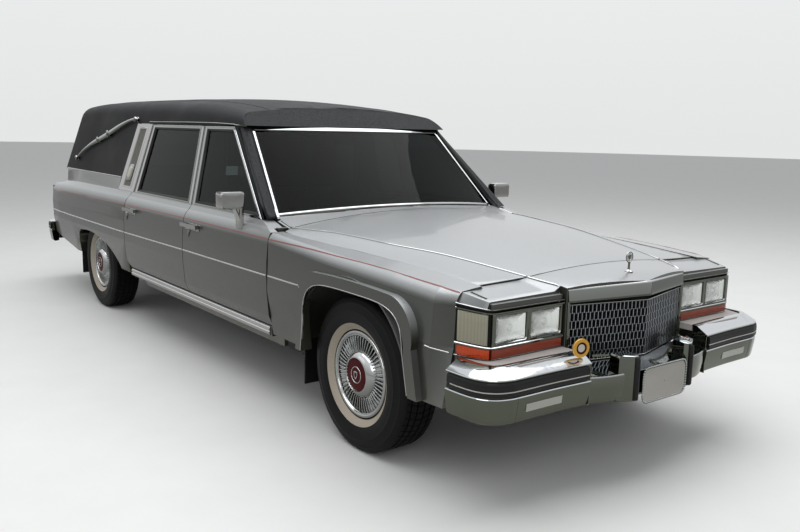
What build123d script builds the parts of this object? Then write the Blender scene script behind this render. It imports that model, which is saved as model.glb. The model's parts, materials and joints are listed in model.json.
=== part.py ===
import os

from build123d import *

os.makedirs("parts", exist_ok=True)

# Frame of the model: millimetres, +X forward, +Y to the vehicle's left, +Z up, origin on the ground
# in the middle of the vehicle. Left-hand pieces are drawn and mirrored in Plane.XZ for the right.

# Running gear
wheelbase = 3670
front_axle_x = 1995
rear_axle_x = front_axle_x - wheelbase
half_track = 783
tyre_radius = 362
tyre_half_width = 112
rim_radius = 191
spindle_radius = 22
bearing_gap = 0.6
kingpin_y = 690
seat_gap = 0.3

# Stations along the body
front_end_x = 3075
door_front_x = 1275
door_split_x = 185
door_rear_x = -870
tail_x = -2605
blade_x = -2800
rear_end_x = -3075

# Heights
sill_bottom_z = 385
sill_top_z = 437
belt_z = 985
rail_z = 1475
vinyl_z = 1075
floor_z = 325
deck_z = 600
tail_opening_top_z = 1560

# Half widths
flank_y = 951
belt_y = 886
rail_y = 748
inner_wall_y = 826
tail_opening_y = 668

# Thicknesses and gaps
sheet = 22
roof_wall = 38
frame_wall = 32
glass_wall = 6
shut_gap = 6
frame_gap = 12
jamb = 45
plate = 25

tumblehome = (belt_y - rail_y) / (rail_z - belt_z)


def across(x):
    """Plane of a cross-section at x: local x is +Y, local y is +Z."""
    return Plane(origin=(x, 0, 0), x_dir=(0, 1, 0), z_dir=(1, 0, 0))


def beside(y):
    """Plane of a side view at y: local x is +X, local y is +Z, its normal is -Y."""
    return Plane(origin=(0, y, 0), x_dir=(1, 0, 0), z_dir=(0, -1, 0))


def level(z):
    """Horizontal plane at height z."""
    return Plane.XY.offset(z)


def pane_y(z):
    """Half width of the side glass plane at height z."""
    return belt_y - tumblehome * (z - belt_z)


def finish(piece, name):
    """Label a finished piece and write it."""
    piece.label = name
    export_step(piece, f"parts/{name}.step")


def finish_pair(piece, name):
    """Write a left-hand piece and its mirror image."""
    finish(piece, f"{name}_left")
    finish(mirror(piece, about=Plane.XZ), f"{name}_right")


# Body side below the belt: (y, z) of the outer skin, shared by doors and quarters
flank_bottom = (flank_y - 39, sill_top_z + 8)
flank_turn = (flank_y - 13, 500)
flank_wide_low = (flank_y, 640)
flank_wide_high = (flank_y, 780)
shoulder_start = (flank_y - 8, 880)
shoulder_mid = (flank_y - 20, 925)
shoulder_end = (flank_y - 46, 958)
belt_edge = (belt_y, belt_z)


def flank_section(inner_y, bottom_z):
    """Closed section of the body side from its outer skin to an inner wall, in (y, z)."""
    with BuildSketch() as section:
        with BuildLine():
            Polyline(
                (inner_y, bottom_z),
                (flank_bottom[0], bottom_z),
                flank_turn,
                flank_wide_low,
                flank_wide_high,
                shoulder_start,
            )
            ThreePointArc(shoulder_start, shoulder_mid, shoulder_end)
            Polyline(shoulder_end, belt_edge, (inner_y, belt_z), (inner_y, bottom_z))
        make_face()
    return section.sketch


def pane_slab(depth_out, depth_in, low_z, high_z):
    """Section of a slab parallel to the side glass, between two depths behind it, in (y, z)."""
    with BuildSketch() as section:
        with BuildLine():
            Polyline(
                (pane_y(low_z) - depth_in, low_z),
                (pane_y(low_z) - depth_out, low_z),
                (pane_y(high_z) - depth_out, high_z),
                (pane_y(high_z) - depth_in, high_z),
                close=True,
            )
        make_face()
    return section.sketch


# Wheels: a tyre and a wheel with its cover for each corner
tread_half = 84
tyre_bead_half = 56
rim_flange = 22


def tyre_on(axle_x):
    plane = Plane(origin=(axle_x, half_track, tyre_radius), x_dir=(1, 0, 0), z_dir=(0, 0, 1))
    bead = rim_radius + seat_gap
    with BuildPart() as tyre:
        with BuildSketch(plane):
            with BuildLine():
                Polyline(
                    (bead + rim_flange, -tyre_bead_half - 6),
                    (bead, -tyre_bead_half),
                    (bead, tyre_bead_half),
                    (bead + rim_flange, tyre_bead_half + 6),
                )
                Polyline(
                    (bead + rim_flange, tyre_bead_half + 6),
                    (tyre_radius - 88, tyre_half_width),
                    (tyre_radius - 14, tread_half + 12),
                    (tyre_radius, tread_half),
                    (tyre_radius, -tread_half),
                    (tyre_radius - 14, -tread_half - 12),
                    (tyre_radius - 88, -tyre_half_width),
                    (bead + rim_flange, -tyre_bead_half - 6),
                )
            make_face()
        revolve(axis=Axis((axle_x, 0, tyre_radius), (0, 1, 0)))
    return tyre.part


cover_radius = 205
cover_face = 82
hub_radius = 60
hub_depth = 75


def wheel_on(axle_x):
    plane = Plane(origin=(axle_x, half_track, tyre_radius), x_dir=(1, 0, 0), z_dir=(0, 0, 1))
    bore = spindle_radius + bearing_gap
    with BuildPart() as wheel:
        with BuildSketch(plane):
            with BuildLine():
                Polyline(
                    (0, 40),
                    (bore, 40),
                    (bore, -hub_depth),
                    (hub_radius, -hub_depth),
                    (hub_radius, 20),
                    (rim_radius - 22, 20),
                    (rim_radius - 22, -tyre_bead_half),
                    (rim_radius, -tyre_bead_half),
                    (rim_radius, cover_face - 20),
                    (cover_radius, cover_face - 8),
                    (cover_radius - 8, cover_face + 4),
                    (cover_radius - 26, cover_face + 4),
                    (cover_radius - 60, cover_face - 6),
                    (cover_radius - 98, cover_face),
                    (cover_radius - 126, cover_face + 20),
                    (0, cover_face + 22),
                    (0, 40),
                )
            make_face()
        revolve(axis=Axis((axle_x, 0, tyre_radius), (0, 1, 0)))
    return wheel.part


for end, axle_x in (("front", front_axle_x), ("rear", rear_axle_x)):
    finish_pair(tyre_on(axle_x), f"tyre_{end}")
    finish_pair(wheel_on(axle_x), f"wheel_{end}")

# Front suspension: knuckles that steer about upright kingpins, arms, springs and crossmember
knuckle_top_z = tyre_radius + 118
knuckle_bottom_z = tyre_radius - 112
knuckle_half = 32
spindle_tip_y = half_track + 35

with BuildPart() as knuckle:
    with Locations((front_axle_x, kingpin_y, (knuckle_top_z + knuckle_bottom_z) / 2)):
        Box(2 * knuckle_half, 30, knuckle_top_z - knuckle_bottom_z)
    with BuildSketch(beside(kingpin_y)):
        with Locations((front_axle_x, tyre_radius)):
            Circle(spindle_radius)
    extrude(amount=-(spindle_tip_y - kingpin_y))
    with Locations((front_axle_x - 90, kingpin_y - 14, tyre_radius - 70)):
        Box(140, 16, 24)
finish_pair(knuckle.part, "knuckle")

arm_root_y = 380
arm_tip_half = 34
arm_root_half = 120
arm_thickness = 26
rail_front_y = 400
rail_width = 72
rail_arch_z = 340

with BuildPart() as front_suspension:
    for arm_z in (knuckle_top_z + seat_gap, knuckle_bottom_z - seat_gap - arm_thickness):
        with BuildSketch(level(arm_z)):
            with BuildLine():
                Polyline(
                    (front_axle_x - arm_root_half, arm_root_y),
                    (front_axle_x + arm_root_half, arm_root_y),
                    (front_axle_x + arm_tip_half, kingpin_y),
                    (front_axle_x - arm_tip_half, kingpin_y),
                    close=True,
                )
            make_face()
        extrude(amount=arm_thickness)
    with Locations((front_axle_x, 455, (knuckle_top_z + knuckle_bottom_z) / 2)):
        Cylinder(52, knuckle_top_z - knuckle_bottom_z + 2 * seat_gap)
    mirror(about=Plane.XZ)
    with Locations((front_axle_x, 0, knuckle_bottom_z - seat_gap - arm_thickness / 2)):
        Box(2 * arm_root_half - 40, 2 * arm_root_y + 10, 70)
    for side in (1, -1):
        with Locations((front_axle_x, side * (rail_front_y - rail_width / 2), rail_arch_z - seat_gap)):
            Box(120, rail_width, 100, align=(Align.CENTER, Align.CENTER, Align.MAX))
finish(front_suspension.part, "front_suspension")

# Rear axle with its differential, propeller shaft and springs
axle_tube_radius = 40
diff_radius = 125
hub_face_y = half_track - hub_depth
spring_y = 520
spring_radius = 62
rear_floor_bottom_z = deck_z - plate
cross_mid_x = 0
cross_mid_z = 232

with BuildPart() as rear_axle:
    with BuildSketch(beside(hub_face_y - seat_gap)):
        with Locations((rear_axle_x, tyre_radius)):
            Circle(axle_tube_radius)
    extrude(amount=2 * (hub_face_y - seat_gap))
    with BuildSketch(beside(spindle_tip_y)):
        with Locations((rear_axle_x, tyre_radius)):
            Circle(spindle_radius)
    extrude(amount=2 * spindle_tip_y)
    with Locations((rear_axle_x, 0, tyre_radius)):
        Sphere(diff_radius)
    with Locations((rear_axle_x, spring_y, 0), (rear_axle_x, -spring_y, 0)):
        with Locations((0, 0, (tyre_radius + rear_floor_bottom_z) / 2)):
            Cylinder(spring_radius, rear_floor_bottom_z - tyre_radius - 2 * seat_gap)
    with BuildLine() as shaft_line:
        Line((rear_axle_x, 0, tyre_radius), (cross_mid_x - 44, 0, cross_mid_z))
    with BuildSketch(shaft_line.line ^ 0):
        Circle(36)
    sweep()
finish(rear_axle.part, "rear_axle")

# Ladder frame: its plan kicks in at both axles and its side view kicks up over the rear one
rail_mid_y = 600
rail_rear_y = 360
frame_front_x = 2840
frame_rear_x = -2800

with BuildPart() as chassis_frame:
    with BuildSketch(level(150)):
        with BuildLine():
            Polyline(
                (frame_front_x, rail_front_y - rail_width),
                (1400, rail_front_y - rail_width),
                (1050, rail_mid_y - rail_width),
                (-1050, rail_mid_y - rail_width),
                (-1250, rail_rear_y - rail_width),
                (frame_rear_x, rail_rear_y - rail_width),
                (frame_rear_x, rail_rear_y),
                (-1200, rail_rear_y),
                (-1000, rail_mid_y),
                (1100, rail_mid_y),
                (1450, rail_front_y),
                (frame_front_x, rail_front_y),
                close=True,
            )
        make_face()
        mirror(about=Plane.XZ)
    extrude(amount=600)
    with BuildSketch(beside(1000)):
        with BuildLine():
            Polyline(
                (frame_front_x, 390),
                (2250, 390),
                (2150, rail_arch_z),
                (1850, rail_arch_z),
                (1500, 195),
                (-1000, 195),
                (-1330, 440),
                (-2050, 440),
                (-2250, 380),
                (frame_rear_x, 380),
                (frame_rear_x, 470),
                (-2250, 470),
                (-2050, 545),
                (-1250, 545),
                (-920, 300),
                (1420, 300),
                (1700, 440),
                (2150, 460),
                (frame_front_x, 500),
                close=True,
            )
        make_face()
    extrude(amount=2000, mode=Mode.INTERSECT)
    for cross_x, cross_z, cross_y in (
        (frame_front_x - 60, 445, rail_front_y),
        (1250, 200, rail_front_y + 60),
        (cross_mid_x, cross_mid_z, rail_mid_y - 30),
        (-900, 222, rail_mid_y - 30),
        (-2150, 465, rail_rear_y - 30),
        (frame_rear_x + 60, 425, rail_rear_y),
    ):
        with Locations((cross_x, 0, cross_z)):
            Box(80, 2 * cross_y, 60)
finish(chassis_frame.part, "chassis_frame")

# Windshield: curved glass between a wide base arc and a narrower top arc
cowl_z = 955
dash_rear_x = 905
shield_base_z = cowl_z + 20
shield_top_z = rail_z - seat_gap
shield_glass = 9
shield_seal = 1
shield_base = (1106, 792, 1222)
shield_top = (600, 690, 634)


def shield_arc(z, corner_x, corner_y, centre_x):
    """Plan section of the windshield at one height."""
    t = shield_glass
    with BuildSketch(level(z)) as section:
        with BuildLine():
            ThreePointArc((corner_x, corner_y), (centre_x, 0), (corner_x, -corner_y))
            Line((corner_x, -corner_y), (corner_x - t, -corner_y))
            ThreePointArc((corner_x - t, -corner_y), (centre_x - t, 0), (corner_x - t, corner_y))
            Line((corner_x - t, corner_y), (corner_x, corner_y))
        make_face()
    return section.sketch


def shield_space(z, corner_x, corner_y, centre_x):
    """Everything behind the outer face of the glass and its seal at one height, in plan."""
    g = shield_seal
    with BuildSketch(level(z)) as section:
        with BuildLine():
            ThreePointArc((corner_x + g, corner_y), (centre_x + g, 0), (corner_x + g, -corner_y))
            Polyline(
                (corner_x + g, -corner_y),
                (corner_x + g, -belt_y),
                (dash_rear_x, -belt_y),
                (dash_rear_x, belt_y),
                (corner_x + g, belt_y),
                (corner_x + g, corner_y),
            )
        make_face()
    return section.sketch


# Cowl panel: sections that carry the hood's surface back to the glass, with skirts down to the cowl
# columns: x, y_edge, z_edge, y_strip, z_strip, z_crown
hood_rear_x = door_front_x + 8
cowl_panel_x = hood_rear_x - shut_gap
cowl_post_x = 1150
cowl_post_y = 797
cowl_panel_wall = 10
cowl_skirt_z = cowl_z - 19
cowl_stations = (
    (cowl_panel_x, 818, 951, 806, 957, 1022),
    (1060, 818, 996, 800, 1002, 1037),
)


def cowl_section(x, y_edge, z_edge, y_strip, z_strip, z_crown):
    """Closed section of the cowl panel and its skirts at one station."""
    w = cowl_panel_wall
    inner = y_edge - w
    with BuildSketch(across(x)) as section:
        with BuildLine():
            Polyline(
                (y_strip, z_strip),
                (y_edge, z_edge),
                (y_edge, cowl_skirt_z),
                (inner, cowl_skirt_z),
                (inner, z_edge - w),
            )
            ThreePointArc((inner, z_edge - w), (0, z_crown - w), (-inner, z_edge - w))
            Polyline(
                (-inner, z_edge - w), (-inner, cowl_skirt_z), (-y_edge, cowl_skirt_z), (-y_edge, z_edge),
                (-y_strip, z_strip),
            )
            ThreePointArc((-y_strip, z_strip), (0, z_crown), (y_strip, z_strip))
        make_face()
    return section.sketch


with BuildPart() as cowl_panel:
    for row in cowl_stations:
        add(cowl_section(*row))
    loft(ruled=True)
    with BuildSketch(level(cowl_skirt_z - 1)):
        with BuildLine():
            Polyline(
                (cowl_panel_x, belt_y),
                (cowl_post_x, belt_y),
                (cowl_post_x, cowl_post_y),
                (dash_rear_x, cowl_post_y),
                (dash_rear_x, -cowl_post_y),
                (cowl_post_x, -cowl_post_y),
                (cowl_post_x, -belt_y),
                (cowl_panel_x, -belt_y),
                close=True,
            )
        make_face()
    extrude(amount=150, mode=Mode.INTERSECT)

with BuildPart() as behind_shield:
    add(shield_space(shield_base_z + seat_gap, *shield_base))
    add(shield_space(shield_top_z, *shield_top))
    loft(ruled=True)
    with BuildSketch():
        add(shield_space(cowl_skirt_z - 1, *shield_base))
    extrude(amount=shield_base_z + seat_gap - cowl_skirt_z + 1)

# Body shell: firewall, floors, sills, cowl, door posts and tail sill in one welded piece
firewall_x = 1190
partition_x = -100
shell_half = inner_wall_y - 26
post_half = 32
post_inner_y = shell_half
post_outer_y = flank_y - 61
arch_clear_radius = 400
arch_wall = 14
arch_inner_y = 620

with BuildPart() as body_shell:
    with BuildSketch(beside(shell_half)):
        with BuildLine():
            Polyline(
                (firewall_x, cowl_z),
                (firewall_x, 470),
                (firewall_x - 150, floor_z),
                (partition_x, floor_z),
                (partition_x, deck_z),
                (tail_x + 62, deck_z),
                (tail_x + 62, rear_floor_bottom_z),
                (partition_x - plate, rear_floor_bottom_z),
                (partition_x - plate, floor_z - plate),
                (firewall_x - 140, floor_z - plate),
                (firewall_x + plate, 460),
                (firewall_x + plate, cowl_z),
                close=True,
            )
        make_face()
    extrude(amount=2 * shell_half)
    # Sills below the doors, with the wall that closes the rear floor's side
    for side in (1, -1):
        with Locations(((door_front_x + door_rear_x) / 2, side * 855, (sill_bottom_z + sill_top_z) / 2)):
            Box(door_front_x - door_rear_x - 40, 110, sill_top_z - sill_bottom_z)
        with Locations(
            ((partition_x + door_rear_x) / 2, side * (shell_half - 12), (floor_z - plate + deck_z) / 2)
        ):
            Box(partition_x - door_rear_x, 24, deck_z - floor_z + plate)
        with Locations(
            ((firewall_x + partition_x) / 2, side * (shell_half - 12), (floor_z - plate + sill_top_z) / 2)
        ):
            Box(firewall_x - partition_x, 24, sill_top_z - floor_z + plate)
    # Cowl deck under the windshield
    with BuildSketch(level(cowl_z - 20)):
        with BuildLine():
            Polyline((1080, 815), (1272, 815), (1272, -815), (1080, -815))
            ThreePointArc((1080, -815), (1130, 0), (1080, 815))
        make_face()
    extrude(amount=20)
    # Hinge posts ahead of the front doors and feet of the windshield posts
    for side in (1, -1):
        with Locations((door_front_x - 30, side * 835, (sill_top_z + cowl_z) / 2 - 10)):
            Box(26, 74, cowl_z - sill_top_z + 20)
        with Locations((1110, side * 808, (cowl_z + belt_z) / 2 - 2)):
            Box(80, 14, belt_z - cowl_z + 16)
        with Locations((hood_rear_x - seat_gap, side * 730, cowl_z - 10)):
            Box(30, 60, 15, align=(Align.MAX, Align.CENTER, Align.MIN))
    # Centre posts between the doors, leaning with the door frames above the belt
    with BuildSketch(across(door_split_x - post_half)):
        with BuildLine():
            Polyline(
                (post_inner_y - 12, sill_top_z - 20),
                (post_outer_y, sill_top_z - 20),
                (post_outer_y + 8, belt_z - 125),
                (pane_y(belt_z) - frame_wall - 8, belt_z),
                (pane_y(rail_z) - frame_wall - 8, rail_z + 4),
                (pane_y(rail_z) - frame_wall - 32, rail_z + 4),
                (post_inner_y, belt_z - 60),
                close=True,
            )
        make_face()
        mirror(about=Plane.YZ)
    extrude(amount=2 * post_half)
    # Openings in the rear floor for the wheelhouses
    with BuildSketch(beside(1000)):
        with Locations((rear_axle_x, tyre_radius)):
            Circle(arch_clear_radius + arch_wall + 4)
    extrude(amount=1000 - arch_inner_y + 14, mode=Mode.SUBTRACT)
    with BuildSketch(beside(-arch_inner_y + 14)):
        with Locations((rear_axle_x, tyre_radius)):
            Circle(arch_clear_radius + arch_wall + 4)
    extrude(amount=1000 - arch_inner_y + 14, mode=Mode.SUBTRACT)
    # Tail sill below the tail door
    with Locations((tail_x + 40, 0, 540)):
        Box(70, 2 * tail_opening_y - 2 * seat_gap, 80)
    add(cowl_panel.part - behind_shield.part)
finish(body_shell.part, "body_shell")

# Hood: its sections run a little wide and its shut line is cut in plan,
# straight at the rear corners so that they clear the fenders as it opens
# columns: x, y_edge, z_edge, y_strip, z_strip, z_crown
hood_front_x = 2622
hood_wall = 26
hood_wide = 14
hood_square_x = 1375
hood_stations = (
    (hood_rear_x, 849, 936, 806, 957, 1022),
    (1840, 784, 905, 690, 943, 980),
    (2300, 748, 889, 552, 913, 940),
    (hood_front_x, 732, 868, 460, 877, 899),
)


def hood_section(x, y_edge, z_edge, y_strip, z_strip, z_crown):
    """Closed section of the hood at one station."""
    w = hood_wall
    edge = y_edge + hood_wide
    with BuildSketch(across(x)) as section:
        with BuildLine():
            Polyline((y_strip, z_strip), (edge, z_edge), (edge, z_edge - w), (y_strip, z_strip - w))
            ThreePointArc((y_strip, z_strip - w), (0, z_crown - w), (-y_strip, z_strip - w))
            Polyline(
                (-y_strip, z_strip - w), (-edge, z_edge - w), (-edge, z_edge), (-y_strip, z_strip)
            )
            ThreePointArc((-y_strip, z_strip), (0, z_crown), (y_strip, z_strip))
        make_face()
    return section.sketch


def hood_outline(grow):
    """Plan view of the hood, grown outwards by a margin."""
    left = [(row[0], row[1] + grow) for row in hood_stations]
    left[0] = (hood_rear_x - grow, left[0][1])
    left[-1] = (hood_front_x + grow, left[-1][1])
    left.insert(1, (hood_square_x, left[0][1]))
    with BuildSketch() as outline:
        with BuildLine():
            Polyline(*left, *[(x, -y) for x, y in reversed(left)], close=True)
        make_face()
    return outline.sketch


with BuildPart() as hood:
    for row in hood_stations:
        add(hood_section(*row))
    loft()
    with BuildSketch(level(500)):
        add(hood_outline(0))
    extrude(amount=1000, mode=Mode.INTERSECT)
finish(hood.part, "hood")

with BuildPart() as hood_space:
    with BuildSketch(level(830)):
        add(hood_outline(shut_gap))
    extrude(amount=400)
hood_gap = hood_space.part

# Front fenders: sections of skin and top flange up to the hood's shut line
# columns: x, y_low, y_side, y_shoulder, z_shoulder, y_top, z_top, y_seam, z_seam
fender_nose_x = 2650
fender_stations = (
    (door_front_x, 914, flank_y, flank_y - 8, 872, 914, 936, 853, 939),
    (1840, 922, flank_y - 2, flank_y - 17, 850, 892, 900, 790, 909),
    (2300, 930, flank_y - 8, flank_y - 24, 828, 886, 882, 754, 892),
    (2560, 930, 922, 908, 804, 868, 866, 740, 876),
    (fender_nose_x, 926, 876, 870, 796, 842, 859, 738, 870),
)
skirt_z = 402
fender_wall = 22
arch_lip = 10
front_arch_x = 2042
front_arch_half = 400
front_arch_top_z = 762
flare_width = 52
apron_radius = 452
apron_wall = 9
apron_inner_y = 500


def fender_section(row):
    """Closed section of the fender's skin at one station."""
    x, y_low, y_side, y_shoulder, z_shoulder, y_top, z_top, y_seam, z_seam = row
    w = fender_wall
    y_bend = (y_shoulder + y_top) / 2 + 7
    z_bend = (z_shoulder + z_top) / 2 + 7
    with BuildSketch(across(x)) as section:
        with BuildLine():
            Polyline((y_low - w, skirt_z), (y_low, skirt_z), (y_side, 640), (y_shoulder, z_shoulder))
            ThreePointArc((y_shoulder, z_shoulder), (y_bend, z_bend), (y_top, z_top))
            Polyline((y_top, z_top), (y_seam, z_seam), (y_seam, z_seam - w), (y_top - w, z_top - w))
            ThreePointArc(
                (y_top - w, z_top - w), (y_bend - w, z_bend - w), (y_shoulder - w, z_shoulder - w)
            )
            Polyline((y_shoulder - w, z_shoulder - w), (y_side - w, 640), (y_low - w, skirt_z))
        make_face()
    return section.sketch


def front_arch_outline(grow):
    """Outline of the front wheel opening in side view, grown outwards by a margin."""
    half = front_arch_half + grow
    top = front_arch_top_z + grow
    rear_x = front_arch_x - half
    nose_x = front_arch_x + half
    with BuildSketch() as outline:
        with BuildLine():
            Polyline((rear_x - 18, 300), (rear_x, 540), (rear_x + 10, top - 110))
            ThreePointArc(
                (rear_x + 10, top - 110), (rear_x + 60, top - 40), (rear_x + 170, top - 6)
            )
            ThreePointArc(
                (rear_x + 170, top - 6), (front_arch_x + 20, top), (nose_x - 150, top - 10)
            )
            ThreePointArc(
                (nose_x - 150, top - 10), (nose_x - 40, top - 70), (nose_x - 6, top - 210)
            )
            Polyline((nose_x - 6, top - 210), (nose_x + 60, 300), (rear_x - 18, 300))
        make_face()
    return outline.sketch


with BuildPart() as front_fender:
    for row in fender_stations:
        add(fender_section(row))
    loft(ruled=True)
    # Flared lip round the wheel opening
    with BuildSketch(beside(flank_y + arch_lip)):
        add(front_arch_outline(flare_width))
        with Locations((front_arch_x, skirt_z - 100)):
            Rectangle(2000, 200, mode=Mode.SUBTRACT)
    extrude(amount=40)
    with BuildSketch(beside(flank_y + arch_lip + 1)):
        add(front_arch_outline(0))
    extrude(amount=200, mode=Mode.SUBTRACT)
    # Inner wheelhouse over the tyre
    with BuildSketch(beside(flank_y - fender_wall / 2)):
        with Locations((front_axle_x, tyre_radius)):
            Circle(apron_radius + apron_wall)
            Circle(apron_radius, mode=Mode.SUBTRACT)
        with Locations((front_axle_x, tyre_radius + 70 - apron_radius)):
            Rectangle(3 * apron_radius, 2 * apron_radius, mode=Mode.SUBTRACT)
    extrude(amount=flank_y - fender_wall / 2 - apron_inner_y)
    # Shut line of the hood
    add(hood_gap, mode=Mode.SUBTRACT)
finish_pair(front_fender.part, "front_fender")

bumper_top_z = 576

# Header panel: carries the lamps and the grille, with a pointed nose over the grille
# columns: x, y_side, z_side, y_top, z_top, y_foot, z_foot, y_strip, z_strip, z_crown
header_rear_x = fender_nose_x + seat_gap
header_stations = (
    (hood_front_x + 8, 878, 800, 846, 860, 520, 868, 460, 876, 898),
    (2800, 812, 784, 798, 828, 430, 832, 402, 852, 884),
    (2905, 775, 760, 765, 806, 420, 808, 392, 840, 858),
)
header_bottom_z = 588
ledge_front_x = 2888
ledge_outer_y = 866
ledge_bottom_z = bumper_top_z + 4
ledge_top_z = header_bottom_z + 20
seam_y = hood_stations[-1][1]
lip_reach = 16
lamp_face_x = 2768
grille_corner_x = 2797
grille_point_x = 2893
grille_half = 392
grille_top_z = 838
grille_bottom_z = 535
lamp_inner_y = 406
lamp_outer_y = 812
bezel_top_z = 808

with BuildPart() as header_panel:
    for x, y_side, z_side, y_top, z_top, y_foot, z_foot, y_strip, z_strip, z_crown in header_stations:
        with BuildSketch(across(x)):
            with BuildLine():
                Polyline(
                    (-y_strip, z_strip),
                    (-y_foot, z_foot),
                    (-y_top, z_top),
                    (-y_side, z_side),
                    (-y_side, header_bottom_z),
                    (y_side, header_bottom_z),
                    (y_side, z_side),
                    (y_top, z_top),
                    (y_foot, z_foot),
                    (y_strip, z_strip),
                )
                ThreePointArc((y_strip, z_strip), (0, z_crown), (-y_strip, z_strip))
            make_face()
    loft(ruled=True)
    # Plan view: flat lamp faces either side of the pointed nose, rear corners clear of the fenders
    with BuildSketch(level(500)):
        with BuildLine():
            Polyline(
                (hood_front_x + 8, seam_y),
                (header_rear_x, seam_y),
                (header_rear_x, 1000),
                (lamp_face_x, 1000),
                (lamp_face_x, lamp_inner_y),
                (grille_corner_x, lamp_inner_y - 2),
                (grille_point_x, 0),
                (grille_corner_x, -lamp_inner_y + 2),
                (lamp_face_x, -lamp_inner_y),
                (lamp_face_x, -1000),
                (header_rear_x, -1000),
                (header_rear_x, -seam_y),
                (hood_front_x + 8, -seam_y),
                close=True,
            )
        make_face()
    extrude(amount=500, mode=Mode.INTERSECT)
    # Ledge below the lamps, out over the bumper
    with BuildSketch(level(ledge_bottom_z)):
        with BuildLine():
            Polyline(
                (header_rear_x, lamp_inner_y),
                (header_rear_x, ledge_outer_y),
                (lamp_face_x, ledge_outer_y - 6),
                (ledge_front_x - 34, ledge_outer_y - 36),
                (ledge_front_x, ledge_outer_y - 120),
                (ledge_front_x, lamp_inner_y),
                close=True,
            )
        make_face()
        mirror(about=Plane.XZ)
    extrude(amount=ledge_top_z - ledge_bottom_z)
    # Lip over the lamps
    with BuildSketch(across(lamp_face_x - 4)):
        with Locations(((lamp_inner_y + lamp_outer_y) / 2, bezel_top_z + 1)):
            Rectangle(
                lamp_outer_y - lamp_inner_y - 14, 18, align=(Align.CENTER, Align.MIN)
            )
        mirror(about=Plane.YZ)
    extrude(amount=lip_reach + 4)
    # Opening behind the grille and the engine bay side of the panel
    with Locations((hood_front_x + 150, 0, (grille_top_z + 400) / 2)):
        Box(2000, 2 * grille_half, grille_top_z - 400, mode=Mode.SUBTRACT)
    with Locations((hood_front_x + 45, 0, 650)):
        Box(90, 2 * 740, 300, mode=Mode.SUBTRACT)
    # Legs of the radiator support, down to the frame rails
    for side in (1, -1):
        with Locations((2725, side * 390, 495.1)):
            Box(50, 60, header_bottom_z - 485, align=(Align.CENTER, Align.CENTER, Align.MIN))
finish(header_panel.part, "header_panel")

# Radiator grille: a bright frame bent at the centre and upright bars
grille_depth = 18
grille_bar_pitch = 24
grille_bar = 7
grille_frame = 14
grille_half_length = 398

with BuildPart() as grille:
    grille_height = grille_top_z - grille_bottom_z - 2 * seat_gap
    bar_count = int((grille_half_length - 2 * grille_frame) / grille_bar_pitch)
    for side in (1, -1):
        grille_plane = Plane(
            origin=(grille_point_x - 4, 0, (grille_top_z + grille_bottom_z) / 2),
            x_dir=(-(grille_point_x - grille_corner_x), side * grille_half, 0),
            z_dir=(side * grille_half, grille_point_x - grille_corner_x, 0),
        )
        with BuildSketch(grille_plane):
            with Locations((grille_half_length / 2, 0)):
                Rectangle(grille_half_length, grille_height)
                Rectangle(
                    grille_half_length - 2 * grille_frame,
                    grille_height - 2 * grille_frame,
                    mode=Mode.SUBTRACT,
                )
        extrude(amount=side * -grille_depth)
        with BuildSketch(grille_plane.offset(-side * 3)):
            with Locations((grille_half_length / 2, 0)):
                with GridLocations(grille_bar_pitch, 0, bar_count, 1):
                    Rectangle(grille_bar, grille_height - grille_frame)
                with GridLocations(0, grille_height / 4, 1, 3):
                    Rectangle(grille_half_length - grille_frame, 4)
        extrude(amount=side * -(grille_depth - 6))
finish(grille.part, "grille")

# Lamps: bezels with two rectangular headlamps a side, cornering lamps and amber lamps below
lamp_split_y = 608
lamp_top_z = 778
lamp_bottom_z = 672
amber_top_z = 654
amber_bottom_z = 616
bezel_depth = 22
corner_rear_x = 2658

with BuildPart() as lamp_bezels:
    with BuildSketch(across(lamp_face_x + seat_gap)):
        with Locations(((lamp_inner_y + lamp_outer_y) / 2 + 2, (bezel_top_z + amber_top_z + 4) / 2)):
            Rectangle(lamp_outer_y - lamp_inner_y - 8, bezel_top_z - amber_top_z - 4)
        for low_y, high_y in ((lamp_inner_y + 18, lamp_split_y - 6), (lamp_split_y + 6, lamp_outer_y - 14)):
            with Locations(((low_y + high_y) / 2, (lamp_top_z + lamp_bottom_z) / 2)):
                RectangleRounded(high_y - low_y, lamp_top_z - lamp_bottom_z, 8, mode=Mode.SUBTRACT)
    extrude(amount=bezel_depth)
    mirror(about=Plane.XZ)
finish(lamp_bezels.part, "lamp_bezels")

with BuildPart() as headlamps:
    with BuildSketch(across(lamp_face_x + seat_gap)):
        for low_y, high_y in ((lamp_inner_y + 18, lamp_split_y - 6), (lamp_split_y + 6, lamp_outer_y - 14)):
            with Locations(((low_y + high_y) / 2, (lamp_top_z + lamp_bottom_z) / 2)):
                RectangleRounded(
                    high_y - low_y - 2 * seat_gap, lamp_top_z - lamp_bottom_z - 2 * seat_gap, 8 - seat_gap
                )
    extrude(amount=bezel_depth - 6)
    with BuildSketch(level(lamp_bottom_z)):
        with BuildLine():
            Polyline(
                (lamp_face_x + bezel_depth, lamp_outer_y),
                (lamp_face_x, lamp_outer_y),
                (corner_rear_x, 862),
                (corner_rear_x, 882),
                (lamp_face_x + bezel_depth, lamp_outer_y + 14),
                close=True,
            )
        make_face()
    extrude(amount=lamp_top_z + 14 - lamp_bottom_z)
    add(header_panel.part, mode=Mode.SUBTRACT)
    add(lamp_bezels.part, mode=Mode.SUBTRACT)
    mirror(about=Plane.XZ)
finish(headlamps.part, "headlamps")

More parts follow.
